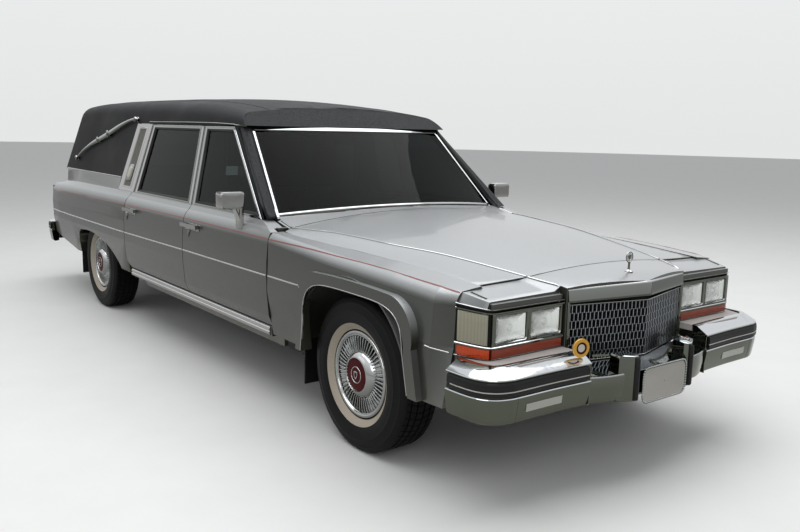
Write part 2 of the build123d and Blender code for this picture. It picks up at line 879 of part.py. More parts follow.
with BuildPart() as turn_lamps:
    with BuildSketch(level(amber_bottom_z)):
        with BuildLine():
            Polyline(
                (lamp_face_x + seat_gap, lamp_inner_y + 20),
                (lamp_face_x + seat_gap, lamp_outer_y - 4),
                (corner_rear_x, 868),
                (corner_rear_x, 882),
                (lamp_face_x + bezel_depth, lamp_outer_y + 14),
                (lamp_face_x + bezel_depth, lamp_inner_y + 20),
                close=True,
            )
        make_face()
    extrude(amount=amber_top_z - amber_bottom_z)
    add(header_panel.part, mode=Mode.SUBTRACT)
    mirror(about=Plane.XZ)
finish(turn_lamps.part, "turn_lamps")

# Front bumper: two outer sections, a lower centre section and two upright guards
bumper_mid_z = 492
bumper_bottom_z = 395
bumper_centre_top_z = 528
bumper_wall = 60
bumper_end_y = 946
guard_y = 210
guard_half = 24
guard_top_z = 588
rear_guard_top_z = 580
rear_guard_y = 470
rub_low_z = 496
rub_height = 44
rub_depth = 9
plate_half_width = 160
plate_low_z = 374
plate_high_z = 536
plate_bolt_z = 512
plate_bolt_pitch = 178
plate_bolt_radius = 3.5


def bumper_plan(end_x, corner_x, face_x, inner_y):
    """Plan view of one outer bumper section."""
    with BuildSketch() as plan:
        with BuildLine():
            Polyline(
                (end_x, bumper_end_y),
                (corner_x - 95, bumper_end_y - 4),
                (corner_x - 12, bumper_end_y - 72),
                (face_x, inner_y + 220),
                (face_x + 12, inner_y),
                (face_x - bumper_wall, inner_y),
                (face_x - bumper_wall, inner_y + 220),
                (corner_x - bumper_wall - 22, bumper_end_y - 110),
                (corner_x - bumper_wall - 80, bumper_end_y - 42),
                (end_x, bumper_end_y - 42),
                close=True,
            )
        make_face()
    return plan.sketch


def rub_line(end_x, face_x, inner_y, stand_off):
    """Line along the face of one outer bumper section, standing off it, in plan."""
    short = max(0, bumper_inner_y + 220 - inner_y)
    inner_x = face_x + 12 * short / 220
    return [
        (end_x, bumper_end_y + stand_off),
        (face_x - 95, bumper_end_y - 4 + stand_off),
        (face_x - 12 + stand_off, bumper_end_y - 72 + stand_off / 2),
        (inner_x + stand_off, inner_y),
    ]


bumper_face_x = 2930
bumper_inner_y = 402
bumper_end_x = 2690
centre_face_x = 2992
rear_bumper_end_x = 2832
rear_face_x = 3045

with BuildPart() as front_bumper:
    with BuildSketch(level(bumper_mid_z)):
        add(bumper_plan(bumper_end_x, bumper_face_x, bumper_face_x, bumper_inner_y))
    extrude(amount=bumper_top_z - bumper_mid_z)
    with BuildSketch(level(bumper_mid_z)):
        add(bumper_plan(bumper_end_x, bumper_face_x - 4, bumper_face_x - 10, bumper_inner_y))
    extrude(amount=-(bumper_mid_z - bumper_bottom_z), taper=8)
    mirror(about=Plane.XZ)
    with BuildSketch(level(bumper_bottom_z)):
        with BuildLine():
            Polyline(
                (bumper_face_x - bumper_wall, bumper_inner_y + 12),
                (bumper_face_x + 2, bumper_inner_y + 12),
                (centre_face_x - 20, 300),
                (centre_face_x, 120),
                (centre_face_x, -120),
                (centre_face_x - 20, -300),
                (bumper_face_x + 2, -bumper_inner_y - 12),
                (bumper_face_x - bumper_wall, -bumper_inner_y - 12),
                close=True,
            )
        make_face()
    extrude(amount=bumper_centre_top_z - bumper_bottom_z)
    for side in (1, -1):
        with Locations((centre_face_x + 12, side * guard_y, (guard_top_z + bumper_bottom_z) / 2)):
            Box(66, 2 * guard_half, guard_top_z - bumper_bottom_z)
    # Licence plate bracket with its two bolt holes
    with Locations((centre_face_x + 6, 0, (plate_low_z + plate_high_z) / 2)):
        Box(20, 2 * plate_half_width, plate_high_z - plate_low_z)
    with BuildSketch(across(centre_face_x + 30)):
        with Locations((0, plate_bolt_z)):
            with GridLocations(plate_bolt_pitch, 0, 2, 1):
                Circle(plate_bolt_radius)
    extrude(amount=-40, mode=Mode.SUBTRACT)
    # Brackets back to the frame rails
    for side in (1, -1):
        with Locations((frame_front_x + seat_gap, side * (rail_front_y - 36), 450)):
            Box(bumper_face_x - frame_front_x - 20, 50, 70, align=(Align.MIN, Align.CENTER, Align.CENTER))
finish(front_bumper.part, "front_bumper")

with BuildPart() as rear_bumper:
    with BuildSketch(level(bumper_mid_z)):
        add(bumper_plan(rear_bumper_end_x, rear_face_x, rear_face_x, 200))
    extrude(amount=bumper_top_z - bumper_mid_z)
    with BuildSketch(level(bumper_mid_z)):
        add(bumper_plan(rear_bumper_end_x, rear_face_x - 4, rear_face_x - 10, 200))
    extrude(amount=-(bumper_mid_z - bumper_bottom_z), taper=8)
    with BuildSketch(level(bumper_bottom_z)):
        with Locations((rear_face_x - 32, 110)):
            Rectangle(bumper_wall, 222)
    extrude(amount=bumper_top_z - bumper_bottom_z)
    mirror(about=Plane.XZ)
    for side in (1, -1):
        with Locations((rear_face_x - 10, side * rear_guard_y, (rear_guard_top_z + bumper_bottom_z) / 2)):
            Box(60, 2 * guard_half, rear_guard_top_z - bumper_bottom_z)
        with Locations((-frame_rear_x + seat_gap, side * (rail_rear_y - 36), 440)):
            Box(rear_face_x + frame_rear_x - 20, 50, 60, align=(Align.MIN, Align.CENTER, Align.CENTER))
    with Locations((rear_face_x + 4, 0, (plate_low_z + plate_high_z) / 2 + 10)):
        Box(20, 2 * plate_half_width, plate_high_z - plate_low_z)
    with BuildSketch(across(rear_face_x + 30)):
        with Locations((0, plate_bolt_z)):
            with GridLocations(plate_bolt_pitch, 0, 2, 1):
                Circle(plate_bolt_radius)
    extrude(amount=-40, mode=Mode.SUBTRACT)
    mirror(about=Plane.YZ, mode=Mode.REPLACE)
finish(rear_bumper.part, "rear_bumper")

# Rubber: pads on the guards, out to both ends of the vehicle, and strips along the faces
with BuildPart() as bumper_rubber:
    for pad_x, end_x, pad_y in (
        (centre_face_x + 45 + seat_gap, front_end_x, guard_y),
        (-rear_face_x - 20 - seat_gap, rear_end_x, rear_guard_y),
    ):
        for side in (1, -1):
            with BuildSketch(across(pad_x)):
                with Locations((side * pad_y, (guard_top_z + bumper_bottom_z) / 2)):
                    Rectangle(2 * guard_half - 8, guard_top_z - bumper_bottom_z - 8)
            extrude(amount=end_x - pad_x)
    for end, strip_end_x, face_x, inner_y in (
        (1, bumper_end_x + 8, bumper_face_x, bumper_inner_y + 6),
        (-1, rear_bumper_end_x + 8, rear_face_x, rear_guard_y + guard_half + 6),
    ):
        with BuildSketch(level(rub_low_z)):
            with BuildLine():
                Polyline(*[(end * x, y) for x, y in rub_line(strip_end_x, face_x, inner_y, seat_gap)],
                         *[
                             (end * x, y)
                             for x, y in reversed(rub_line(strip_end_x, face_x, inner_y, rub_depth))
                         ],
                         close=True)
            make_face()
            mirror(about=Plane.XZ)
        extrude(amount=rub_height)
finish(bumper_rubber.part, "bumper_rubber")

# Engine block, gearbox and radiator, simple masses at their real places
gearbox_cross_top_z = 230
with BuildPart() as engine:
    with Locations((1700, 0, 590)):
        Box(760, 560, 380)
    with Locations((1700, 0, 800)):
        Box(420, 420, 50)
    with Locations((1760, 0, 375)):
        Box(200, 300, 80)
    # Mounts on the frame rails
    with Locations((1700, 0, 415)):
        Box(120, 2 * (rail_front_y - rail_width - seat_gap), 50)
    # Gearbox on its cross member, and the front half of the propeller shaft
    with Locations((1225, 0, gearbox_cross_top_z + seat_gap)):
        Box(190, 220, 130, align=(Align.CENTER, Align.CENTER, Align.MIN))
    with BuildLine() as front_shaft:
        Line((1140, 0, 262), (cross_mid_x + 44, 0, cross_mid_z))
    with BuildSketch(front_shaft.line ^ 0):
        Circle(28)
    sweep()
finish(engine.part, "engine")

with BuildPart() as radiator:
    with Locations((hood_front_x + 42, 0, 660)):
        Box(60, 2 * (grille_half - seat_gap), 290)
finish(radiator.part, "radiator")

# Windshield
with BuildPart() as windshield:
    add(shield_arc(shield_base_z + seat_gap, *shield_base))
    add(shield_arc(shield_top_z, *shield_top))
    loft(ruled=True)
finish(windshield.part, "windshield")

# Roof: padded shell over the whole cabin, with the rear quarters and the windshield posts
# columns: x, z_knee, y_shoulder, z_shoulder, z_crown
roof_stations = (
    (700, 1468, 664, 1528, 1555),
    (250, 1502, 642, 1592, 1628),
    (-600, 1530, 628, 1626, 1668),
    (-1600, 1538, 624, 1634, 1676),
    (-2700, 1505, 632, 1582, 1615),
)
tail_slope = 0.205
tail_knee_z = 1000
vinyl_front_low_x = -1166
vinyl_front_high_x = -1084
lamp_panel_front_low_x = -838
lamp_panel_front_high_x = -784


# Windshield post in plan at its foot and head, counted round from the glass
post_foot = (
    (1112, 800), (1140, 812), (1136, 868), (1122, 884), (1110, 885), (1110, 844), (1070, 842), (1076, 800)
)
post_head = (
    (606, 694), (600, 718), (580, 736), (560, 744), (516, 746), (516, 706), (478, 702), (484, 694)
)


def tail_line_x(z):
    """Rear face of the body at height z."""
    return tail_x + max(0, z - tail_knee_z) * tail_slope


def roof_section(row, wall, base_z):
    """Closed arch section of the roof at one station, inset by a wall."""
    x, z_knee, y_shoulder, z_shoulder, z_crown = row
    knee = (pane_y(z_knee) - wall, z_knee)
    shoulder = (y_shoulder - wall * 0.4, z_shoulder - wall)
    foot = (pane_y(base_z) - wall, base_z)
    with BuildSketch(across(x)) as section:
        with BuildLine():
            Line(foot, knee)
            TangentArc(knee, shoulder, tangent=(-tumblehome, 1))
            ThreePointArc(shoulder, (0, z_crown - wall), (-shoulder[0], shoulder[1]))
            TangentArc((-knee[0], knee[1]), (-shoulder[0], shoulder[1]), tangent=(tumblehome, 1))
            Polyline((-knee[0], knee[1]), (-foot[0], foot[1]), foot)
        make_face()
    return section.sketch


with BuildPart() as roof_cavity:
    for row in roof_stations:
        add(roof_section(row, roof_wall, vinyl_z - 30))
    loft()
    with BuildSketch(beside(1000)):
        with BuildLine():
            Polyline(
                (tail_line_x(1000) + roof_wall, 1000),
                (tail_line_x(1800) + roof_wall, 1800),
                (460, 1800),
                (540, 1000),
                close=True,
            )
        make_face()
    extrude(amount=2000, mode=Mode.INTERSECT)

with BuildPart() as roof:
    for row in roof_stations:
        add(roof_section(row, 0, vinyl_z))
    loft()
    # Raked front face over the windshield and sloping tail
    with BuildSketch(beside(1000)):
        with BuildLine():
            Polyline(
                (tail_line_x(1000), 1000),
                (tail_line_x(1800), 1800),
                (300, 1800),
                (520, 1580),
                (640, rail_z),
                (640, 1000),
                close=True,
            )
        make_face()
    extrude(amount=2000, mode=Mode.INTERSECT)
    add(roof_cavity.part, mode=Mode.SUBTRACT)
    # Open sides ahead of the quarters
    with BuildSketch(beside(1000)):
        with BuildLine():
            Polyline(
                (vinyl_front_low_x, 1000),
                (vinyl_front_low_x + 15, vinyl_z),
                (vinyl_front_high_x, rail_z),
                (900, rail_z),
                (900, 1000),
                close=True,
            )
        make_face()
    extrude(amount=2000, mode=Mode.SUBTRACT)
    # Tail opening
    with Locations((tail_x, 0, tail_opening_top_z / 2)):
        Box(600, 2 * tail_opening_y, tail_opening_top_z, mode=Mode.SUBTRACT)
    # Windshield posts, in front of the door frames and clear of them
    for side in (1, -1):
        for z, corners in (
            (belt_z + 6, post_foot),
            (rail_z + 4, post_head),
        ):
            with BuildSketch(level(z)):
                with BuildLine():
                    Polyline(*[(x, side * y) for x, y in corners], close=True)
                make_face()
        loft(ruled=True)
finish(roof.part, "roof")

# Pillar panels between the rear doors and the quarters
with BuildPart() as lamp_panels:
    with BuildSketch(across(-1400)):
        add(pane_slab(0, frame_wall, belt_z + seat_gap, rail_z - seat_gap))
    extrude(amount=800)
    with BuildSketch(beside(1000)):
        with BuildLine():
            Polyline(
                (vinyl_front_low_x + 4, belt_z),
                (vinyl_front_low_x + 19, vinyl_z),
                (vinyl_front_high_x + 2, rail_z),
                (lamp_panel_front_high_x, rail_z),
                (lamp_panel_front_low_x, belt_z),
                close=True,
            )
        make_face()
    extrude(amount=2000, mode=Mode.INTERSECT)
    mirror(about=Plane.XZ)
finish(lamp_panels.part, "lamp_panels")

# Rear quarters: body side behind the rear door with the wheelhouse, the rear arch and the tail fin
# columns: x, y_low, y_side, z_shoulder, y_top, z_top, y_ledge, z_ledge
quarter_stations = (
    (door_rear_x - shut_gap, flank_bottom[0], flank_y, 880, shoulder_end[0], 958, belt_y, belt_z),
    (-2200, 912, flank_y - 2, 872, 902, 950, 878, 978),
    (tail_x, 908, 942, 858, 896, 938, 850, 962),
    (blade_x - 80, 902, 924, 850, 884, 926, 838, 944),
)
blade_low_z = 488
blade_top_z = 928
rear_arch_top_z = 615
rear_arch_rear_x = -2072
rear_arch_front_x = -1010
liner_inner_y = 912


def quarter_section(row):
    """Closed section of the quarter at one station, from the skin to the inner wall."""
    x, y_low, y_side, z_shoulder, y_top, z_top, y_ledge, z_ledge = row
    start = (y_side - 8, z_shoulder)
    with BuildSketch(across(x)) as section:
        with BuildLine():
            Polyline(
                (shell_half + seat_gap, sill_bottom_z + 14),
                (y_low, sill_bottom_z + 14),
                (y_side, 640),
                (y_side, 780),
                start,
            )
            ThreePointArc(start, ((start[0] + y_top) / 2 + 7, (z_shoulder + z_top) / 2 + 7), (y_top, z_top))
            Polyline(
                (y_top, z_top),
                (y_ledge, z_ledge),
                (min(y_ledge, pane_y(vinyl_z)) - 1, vinyl_z - seat_gap),
                (shell_half + seat_gap, vinyl_z - seat_gap),
                (shell_half + seat_gap, sill_bottom_z + 14),
            )
        make_face()
    return section.sketch


with BuildPart() as quarter:
    for row in quarter_stations:
        add(quarter_section(row))
    loft(ruled=True)
    # Side view: tail fin behind the tail line, with a raked end, and the rear edge of the rear door
    with BuildSketch(beside(1000)):
        with BuildLine():
            Polyline(
                (door_rear_x - shut_gap, sill_bottom_z),
                (rear_arch_rear_x, sill_bottom_z),
                (blade_x, blade_low_z),
                (blade_x - 60, blade_top_z - 10),
                (blade_x - 52, blade_top_z),
                (tail_x - 30, 950),
                (tail_x, 975),
                (tail_line_x(vinyl_z), vinyl_z),
                (lamp_panel_front_low_x - 328, vinyl_z),
                (lamp_panel_front_low_x - 332, belt_z),
                (door_rear_x - shut_gap, belt_z),
                close=True,
            )
        make_face()
    extrude(amount=1000, mode=Mode.INTERSECT)
    # Corner panel beside the tail door
    with BuildSketch(level(sill_bottom_z + 120)):
        with BuildLine():
            Polyline(
                (tail_x, tail_opening_y),
                (tail_x, shell_half + 20),
                (tail_x + 60, shell_half + 20),
                (tail_x + 60, tail_opening_y),
                close=True,
            )
        make_face()
    extrude(amount=belt_z - sill_bottom_z - 120)
    # Wheel well and arch
    with BuildSketch(beside(liner_inner_y)):
        with Locations((rear_axle_x, tyre_radius)):
            Circle(arch_clear_radius)
    extrude(amount=liner_inner_y - arch_inner_y, mode=Mode.SUBTRACT)
    with BuildSketch(beside(1000)):
        with BuildLine():
            Polyline((rear_arch_rear_x, 300), (rear_arch_rear_x + 12, 470))
            ThreePointArc(
                (rear_arch_rear_x + 12, 470), (rear_arch_rear_x + 62, 572), (rear_arch_rear_x + 172, 606)
            )
            ThreePointArc(
                (rear_arch_rear_x + 172, 606), (rear_axle_x - 30, rear_arch_top_z), (-1450, 588)
            )
            ThreePointArc((-1450, 588), (-1230, 520), (-1090, 430))
            Polyline((-1090, 430), (rear_arch_front_x, 300), (rear_arch_rear_x, 300))
        make_face()
    extrude(amount=200, mode=Mode.SUBTRACT)
    # Wheelhouse over the tyre
    with BuildSketch(beside(shell_half + 12)):
        with Locations((rear_axle_x, tyre_radius)):
            Circle(arch_clear_radius + arch_wall)
            Circle(arch_clear_radius, mode=Mode.SUBTRACT)
        with Locations((rear_axle_x, tyre_radius + 60 - arch_clear_radius)):
            Rectangle(3 * arch_clear_radius, 2 * arch_clear_radius, mode=Mode.SUBTRACT)
    extrude(amount=shell_half + 12 - arch_inner_y)
    with BuildSketch(beside(arch_inner_y)):
        with Locations((rear_axle_x, tyre_radius)):
            Circle(arch_clear_radius + arch_wall)
        with Locations((rear_axle_x, tyre_radius + 60 - arch_clear_radius)):
            Rectangle(3 * arch_clear_radius, 2 * arch_clear_radius, mode=Mode.SUBTRACT)
    extrude(amount=-10)
finish_pair(quarter.part, "quarter")

# Rear pan: the step between the fins, from the tail door's sill out to the bumper
pan_top_z = 578
pan_wall = 20
pan_rear_x = -2952
pan_skirt_x = -2815
with BuildPart() as rear_pan:
    with BuildSketch(level(pan_top_z - pan_wall)):
        with BuildLine():
            Polyline(
                (tail_x - seat_gap, 0),
                (tail_x - seat_gap, shell_half - 2),
                (pan_skirt_x - 8, shell_half - 2),
                (pan_skirt_x - 8, 872),
                (pan_rear_x + 50, 860),
                (pan_rear_x, 790),
                (pan_rear_x, 0),
                close=True,
            )
        make_face()
        mirror(about=Plane.XZ)
    extrude(amount=pan_wall)
    with Locations((pan_skirt_x, 0, pan_top_z - 50)):
        Box(pan_wall, 2 * (shell_half - 4), 96)
finish(rear_pan.part, "rear_pan")

with BuildPart() as tail_lamps:
    with BuildSketch(beside(908)):
        with BuildLine():
            Polyline(
                (blade_x - 4, blade_low_z + 96),
                (blade_x - 26, blade_low_z + 96),
                (blade_x - 72, blade_top_z - 26),
                (blade_x - 50, blade_top_z - 26),
                close=True,
            )
        make_face()
    extrude(amount=76)
    add(quarter.part, mode=Mode.SUBTRACT)
    mirror(about=Plane.XZ)
finish(tail_lamps.part, "tail_lamps")

# Landau bars: S-shaped bars in the plane of the side glass, standing off the vinyl
bar_radius = 12
bar_bend_radius = 260
bar_end_radius = 22
bar_end_thickness = 34
bar_stand_off = bar_end_thickness / 2 + seat_gap
# columns: x, z
bar_points = ((-1095, 1500), (-1265, 1488), (-1660, 1382), (-2140, 1262), (-2290, 1182))
pane_plane = Plane(
    origin=(0, pane_y(rail_z), rail_z), x_dir=(1, 0, 0), z_dir=(0, -1, -tumblehome)
).offset(-bar_stand_off)
bar_route = [(x, (z - rail_z) / pane_plane.y_dir.Z) for x, z in bar_points]

with BuildPart() as landau_bars:
    with BuildLine(pane_plane) as bar_path:
        FilletPolyline(*bar_route, radius=bar_bend_radius)
    with BuildSketch(Plane(origin=bar_path.line @ 0, z_dir=bar_path.line % 0)):
        Circle(bar_radius)
    sweep()
    with BuildSketch(pane_plane):
        with Locations(bar_route[0], bar_route[2], bar_route[-1]):
            Circle(bar_end_radius)
    extrude(amount=bar_end_thickness / 2, both=True)
    mirror(about=Plane.XZ)
finish(landau_bars.part, "landau_bars")

# Doors: a lower shell, a bright window frame with the handle, and glass
post_lean = 85
window_low_z = 1002
window_high_z = 1448
frame_top_z = rail_z - 8
handle_z = 872
glass_depth = 12
door_floor_z = sill_top_z + 8


def leaning_x(x, z):
    """Position at height z of an edge that leans back with the centre post."""
    return x - post_lean * (z - belt_z) / (rail_z - belt_z)


def door_shell(rear_x, nose_x, post_x):
    """Lower door: full skin, its inner box set back from the shut edges, hinge bosses on the post."""
    with BuildPart() as shell:
        with BuildSketch(across(rear_x)):
            add(flank_section(inner_wall_y, door_floor_z))
        extrude(amount=nose_x - rear_x)
        for start_x in (rear_x, nose_x - jamb):
            with BuildSketch(across(start_x)):
                with BuildLine():
                    Polyline(
                        (700, 400),
                        (flank_bottom[0] - sheet, 400),
                        (flank_turn[0] - sheet, 500),
                        (flank_y - sheet, 640),
                        (flank_y - sheet, 780),
                        (shoulder_start[0] - sheet, 870),
                        (shoulder_end[0] - sheet, 938),
                        (belt_y - sheet, 1050),
                        (700, 1050),
                        close=True,
                    )
                make_face()
            extrude(amount=jamb, mode=Mode.SUBTRACT)
        for boss_z in (560, 800):
            with Locations((nose_x - jamb - 2, 846, boss_z)):
                Box(
                    post_x - nose_x + jamb + 2 - seat_gap,
                    34,
                    70,
                    align=(Align.MIN, Align.CENTER, Align.CENTER),
                )
        # The front door's upper corner falls to the height of the fender
        if nose_x > pillar_low_x:
            with BuildSketch(beside(1000)):
                with BuildLine():
                    Polyline(
                        (pillar_low_x + 8, belt_z),
                        (nose_x + 2, fender_stations[0][6]),
                        (nose_x + 2, belt_z + 10),
                        (pillar_low_x + 8, belt_z + 10),
                        close=True,
                    )
                make_face()
            extrude(amount=2000, mode=Mode.SUBTRACT)
    return shell.part


def framed(outline, opening, handle_x, mirror_x):
    """Window frame between two side outlines, with the handle and, on front doors, the mirror."""
    with BuildPart() as frame:
        with BuildSketch(across(-1500)):
            add(pane_slab(0, frame_wall, belt_z + seat_gap, frame_top_z))
        extrude(amount=3500)
        with BuildSketch(beside(1000)):
            with BuildLine():
                Polyline(*outline, close=True)
            make_face()
            with BuildLine():
                Polyline(*opening, close=True)
            make_face(mode=Mode.SUBTRACT)
        extrude(amount=1000, mode=Mode.INTERSECT)
        with Locations((handle_x, flank_y + 14, handle_z)):
            Box(230, 12, 22)
        for foot_x in (handle_x - 95, handle_x + 95):
            with Locations((foot_x, flank_y + 3.5, handle_z)):
                Box(30, 20, 22)
        if mirror_x:
            with BuildSketch(level(1034)):
                with Locations((mirror_x + 18, 994)):
                    RectangleRounded(64, 138, 14)
            extrude(amount=90)
            with BuildSketch(level(925)):
                with Locations((mirror_x - 4, 930)):
                    RectangleRounded(60, 26, 10)
            extrude(amount=115)
            add(door_cutter, mode=Mode.SUBTRACT)
        else:
            add(door_cutter, mode=Mode.SUBTRACT)
    return frame.part


def pane_glass(opening):
    """Door glass that fills the window opening."""
    with BuildPart() as pane:
        with BuildSketch(across(-1500)):
            add(pane_slab(glass_depth, glass_depth + glass_wall, belt_z, rail_z))
        extrude(amount=3500)
        with BuildSketch(beside(1000)):
            with BuildLine():
                Polyline(*opening, close=True)
            make_face()
            offset(amount=-seat_gap)
        extrude(amount=1000, mode=Mode.INTERSECT)
    return pane.part


# Side outlines in (x, z), counted round from the lower rear corner
pillar_low_x = 1102
pillar_high_x = 520
door_outlines = {
    "door_front": (
        (door_split_x + shut_gap / 2, door_front_x - shut_gap, door_front_x - 43),
        (
            (door_split_x + frame_gap / 2, belt_z),
            (pillar_low_x, belt_z),
            (pillar_high_x, frame_top_z),
            (leaning_x(door_split_x + frame_gap / 2, frame_top_z), frame_top_z),
        ),
        (
            (door_split_x + 46, window_low_z),
            (pillar_low_x - 46, window_low_z),
            (pillar_high_x - 8, window_high_z),
            (leaning_x(door_split_x + 46, window_high_z), window_high_z),
        ),
        310,
        935,
    ),
    "door_rear": (
        (door_rear_x, door_split_x - shut_gap / 2, door_split_x - post_half),
        (
            (lamp_panel_front_low_x + frame_gap, belt_z),
            (door_split_x - frame_gap / 2, belt_z),
            (leaning_x(door_split_x - frame_gap / 2, frame_top_z), frame_top_z),
            (lamp_panel_front_high_x + frame_gap, frame_top_z),
        ),
        (
            (lamp_panel_front_low_x + 74, window_low_z),
            (door_split_x - 60, window_low_z),
            (leaning_x(door_split_x - 60, window_high_z), window_high_z),
            (lamp_panel_front_high_x + 62, window_high_z),
        ),
        -735,
        0,
    ),
}

for name, (span, outline, opening, handle_x, mirror_x) in door_outlines.items():
    shell = door_shell(*span)
    with BuildPart() as cutter:
        with BuildSketch(across(span[0])):
            add(flank_section(inner_wall_y, door_floor_z))
        extrude(amount=span[1] - span[0])
    door_cutter = cutter.part
    finish_pair(shell, name)
    finish_pair(framed(outline, opening, handle_x, mirror_x), f"{name}_frame")
    finish_pair(pane_glass(opening), f"{name}_glass")

# Tail door, hinged on the left, with its window and pull handle
tail_door_low_z = 588
tail_door_high_z = tail_opening_top_z - 8
tail_door_wall = 52
tail_window_y = 470
tail_window_low_z = 1095
tail_window_high_z = 1470
tail_door_half = tail_opening_y - 8
tail_hinge_radius = 8
tail_hinge_heights = (690, 910)
tail_hinge_y = tail_opening_y - 2


def tail_slab(depth_out, depth_in, low_z, high_z):
    """Side section of a slab parallel to the tail, between two depths ahead of its face."""
    knees = [low_z, tail_knee_z, high_z] if low_z < tail_knee_z else [low_z, high_z]
    outer = [(tail_line_x(z) + depth_out, z) for z in knees]
    inner = [(tail_line_x(z) + depth_in, z) for z in reversed(knees)]
    with BuildSketch() as section:
        with BuildLine():
            Polyline(*outer, *inner, close=True)
        make_face()
    return section.sketch


with BuildPart() as tail_door:
    with BuildSketch(beside(tail_door_half)):
        add(tail_slab(0, tail_door_wall, tail_door_low_z, tail_door_high_z))
    extrude(amount=2 * tail_door_half)
    for side in (1, -1):
        with BuildSketch(beside(side * (tail_door_half - 15) + 15)):
            add(tail_slab(sheet, 2 * tail_door_wall, tail_door_low_z - 20, tail_door_high_z + 20))
        extrude(amount=30, mode=Mode.SUBTRACT)
    with Locations((tail_x, 0, (tail_window_low_z + tail_window_high_z) / 2)):
        Box(600, 2 * tail_window_y, tail_window_high_z - tail_window_low_z, mode=Mode.SUBTRACT)
    with Locations((tail_x - 12, -tail_door_half + 90, 820)):
        Box(26, 150, 26)
    # Hinges on the left edge, their barrels against the corner panel
    for hinge_z in tail_hinge_heights:
        with Locations((tail_x - tail_hinge_radius - seat_gap, tail_hinge_y, hinge_z)):
            Cylinder(tail_hinge_radius, 90)
        with Locations((tail_x - 3, tail_hinge_y - 30, hinge_z)):
            Box(8, 60, 80)
finish(tail_door.part, "tail_door")

with BuildPart() as tail_door_glass:
    with BuildSketch(beside(tail_window_y - seat_gap)):
        add(
            tail_slab(
                20, 20 + glass_wall, tail_window_low_z + seat_gap, tail_window_high_z - seat_gap
            )
        )
    extrude(amount=2 * (tail_window_y - seat_gap))
finish(tail_door_glass.part, "tail_door_glass")

# Cabin: dash, steering column and wheel, front bench and the partition behind it
dash_front_x = firewall_x - seat_gap
seat_pan_z = floor_z + seat_gap
seat_half = 690
seat_back_x = 70
column_tilt = 24
wheel_centre = (640, 385, 880)
steering_radius = 195
column_radius = 28

with BuildPart() as dashboard:
    with BuildSketch(beside(shell_half - 20)):
        with BuildLine():
            Polyline((dash_front_x, 930), (dash_front_x, 720), (dash_rear_x + 60, 690), (dash_rear_x, 760))
            ThreePointArc((dash_rear_x, 760), (dash_rear_x - 6, 860), (dash_rear_x + 70, 915))
            Line((dash_rear_x + 70, 915), (dash_front_x, 930))
        make_face()
    extrude(amount=2 * (shell_half - 20))
finish(dashboard.part, "dashboard")

column_axis = Vector(-1, 0, 0).rotate(Axis.Y, column_tilt)

with BuildPart() as steering_column:
    with BuildSketch(
        Plane(origin=Vector(*wheel_centre) - column_axis * 60, x_dir=(0, 1, 0), z_dir=column_axis)
    ):
        Circle(column_radius)
    extrude(amount=-330)
    add(dashboard.part, mode=Mode.SUBTRACT)
column_solid = steering_column.part.solids().sort_by(Axis.X)[0]
finish(column_solid, "steering_column")

with BuildPart() as steering_wheel:
    wheel_plane = Plane(origin=wheel_centre, x_dir=(0, 1, 0), z_dir=column_axis)
    with BuildSketch(Plane(origin=wheel_centre, x_dir=column_axis, z_dir=wheel_plane.x_dir)):
        with Locations((0, steering_radius)):
            Circle(13)
    revolve(axis=Axis(wheel_centre, column_axis))
    with BuildSketch(wheel_plane.offset(-12)):
        Rectangle(2 * steering_radius - 10, 44)
        with Locations((0, 0)):
            RectangleRounded(150, 100, 20)
    extrude(amount=18)
    with BuildSketch(wheel_plane.offset(-12)):
        Circle(column_radius)
    extrude(amount=seat_gap - 48)
finish(steering_wheel.part, "steering_wheel")

with BuildPart() as front_seat:
    with BuildSketch(beside(seat_half)):
        with BuildLine():
            Polyline(
                (seat_back_x + 50, seat_pan_z),
                (seat_back_x + 470, seat_pan_z),
                (seat_back_x + 540, seat_pan_z + 150),
            )
            ThreePointArc(
                (seat_back_x + 540, seat_pan_z + 150),
                (seat_back_x + 530, seat_pan_z + 235),
                (seat_back_x + 440, seat_pan_z + 260),
            )
            Polyline(
                (seat_back_x + 440, seat_pan_z + 260),
                (seat_back_x + 150, seat_pan_z + 225),
                (seat_back_x + 10, seat_pan_z + 700),
            )
            ThreePointArc(
                (seat_back_x + 10, seat_pan_z + 700),
                (seat_back_x - 50, seat_pan_z + 725),
                (seat_back_x - 100, seat_pan_z + 680),
            )
            Line((seat_back_x - 100, seat_pan_z + 680), (seat_back_x + 50, seat_pan_z))
        make_face()
    extrude(amount=2 * seat_half)
finish(front_seat.part, "front_seat")

partition_wall = 22
with BuildPart() as partition:
    with BuildSketch(across(partition_x - partition_wall)):
        with BuildLine():
            Polyline(
                (0, deck_z + seat_gap),
                (post_inner_y - 20, deck_z + seat_gap),
                (post_inner_y - 20, belt_z),
                (pane_y(rail_z) - 76, rail_z + 20),
                (0, rail_z + 60),
                close=True,
            )
        make_face()
        mirror(about=Plane.YZ)
        with Locations((0, 1240)):
            RectangleRounded(1060, 330, 40, mode=Mode.SUBTRACT)
    extrude(amount=partition_wall - seat_gap)
finish(partition.part, "partition")

# Load deck with its rollers, set between the wheelhouses
deck_board = 24
deck_front_x = partition_x - partition_wall - 6
deck_rear_x = tail_x + 70
roller_radius = 16
roller_pitch = 330
roller_y = 250

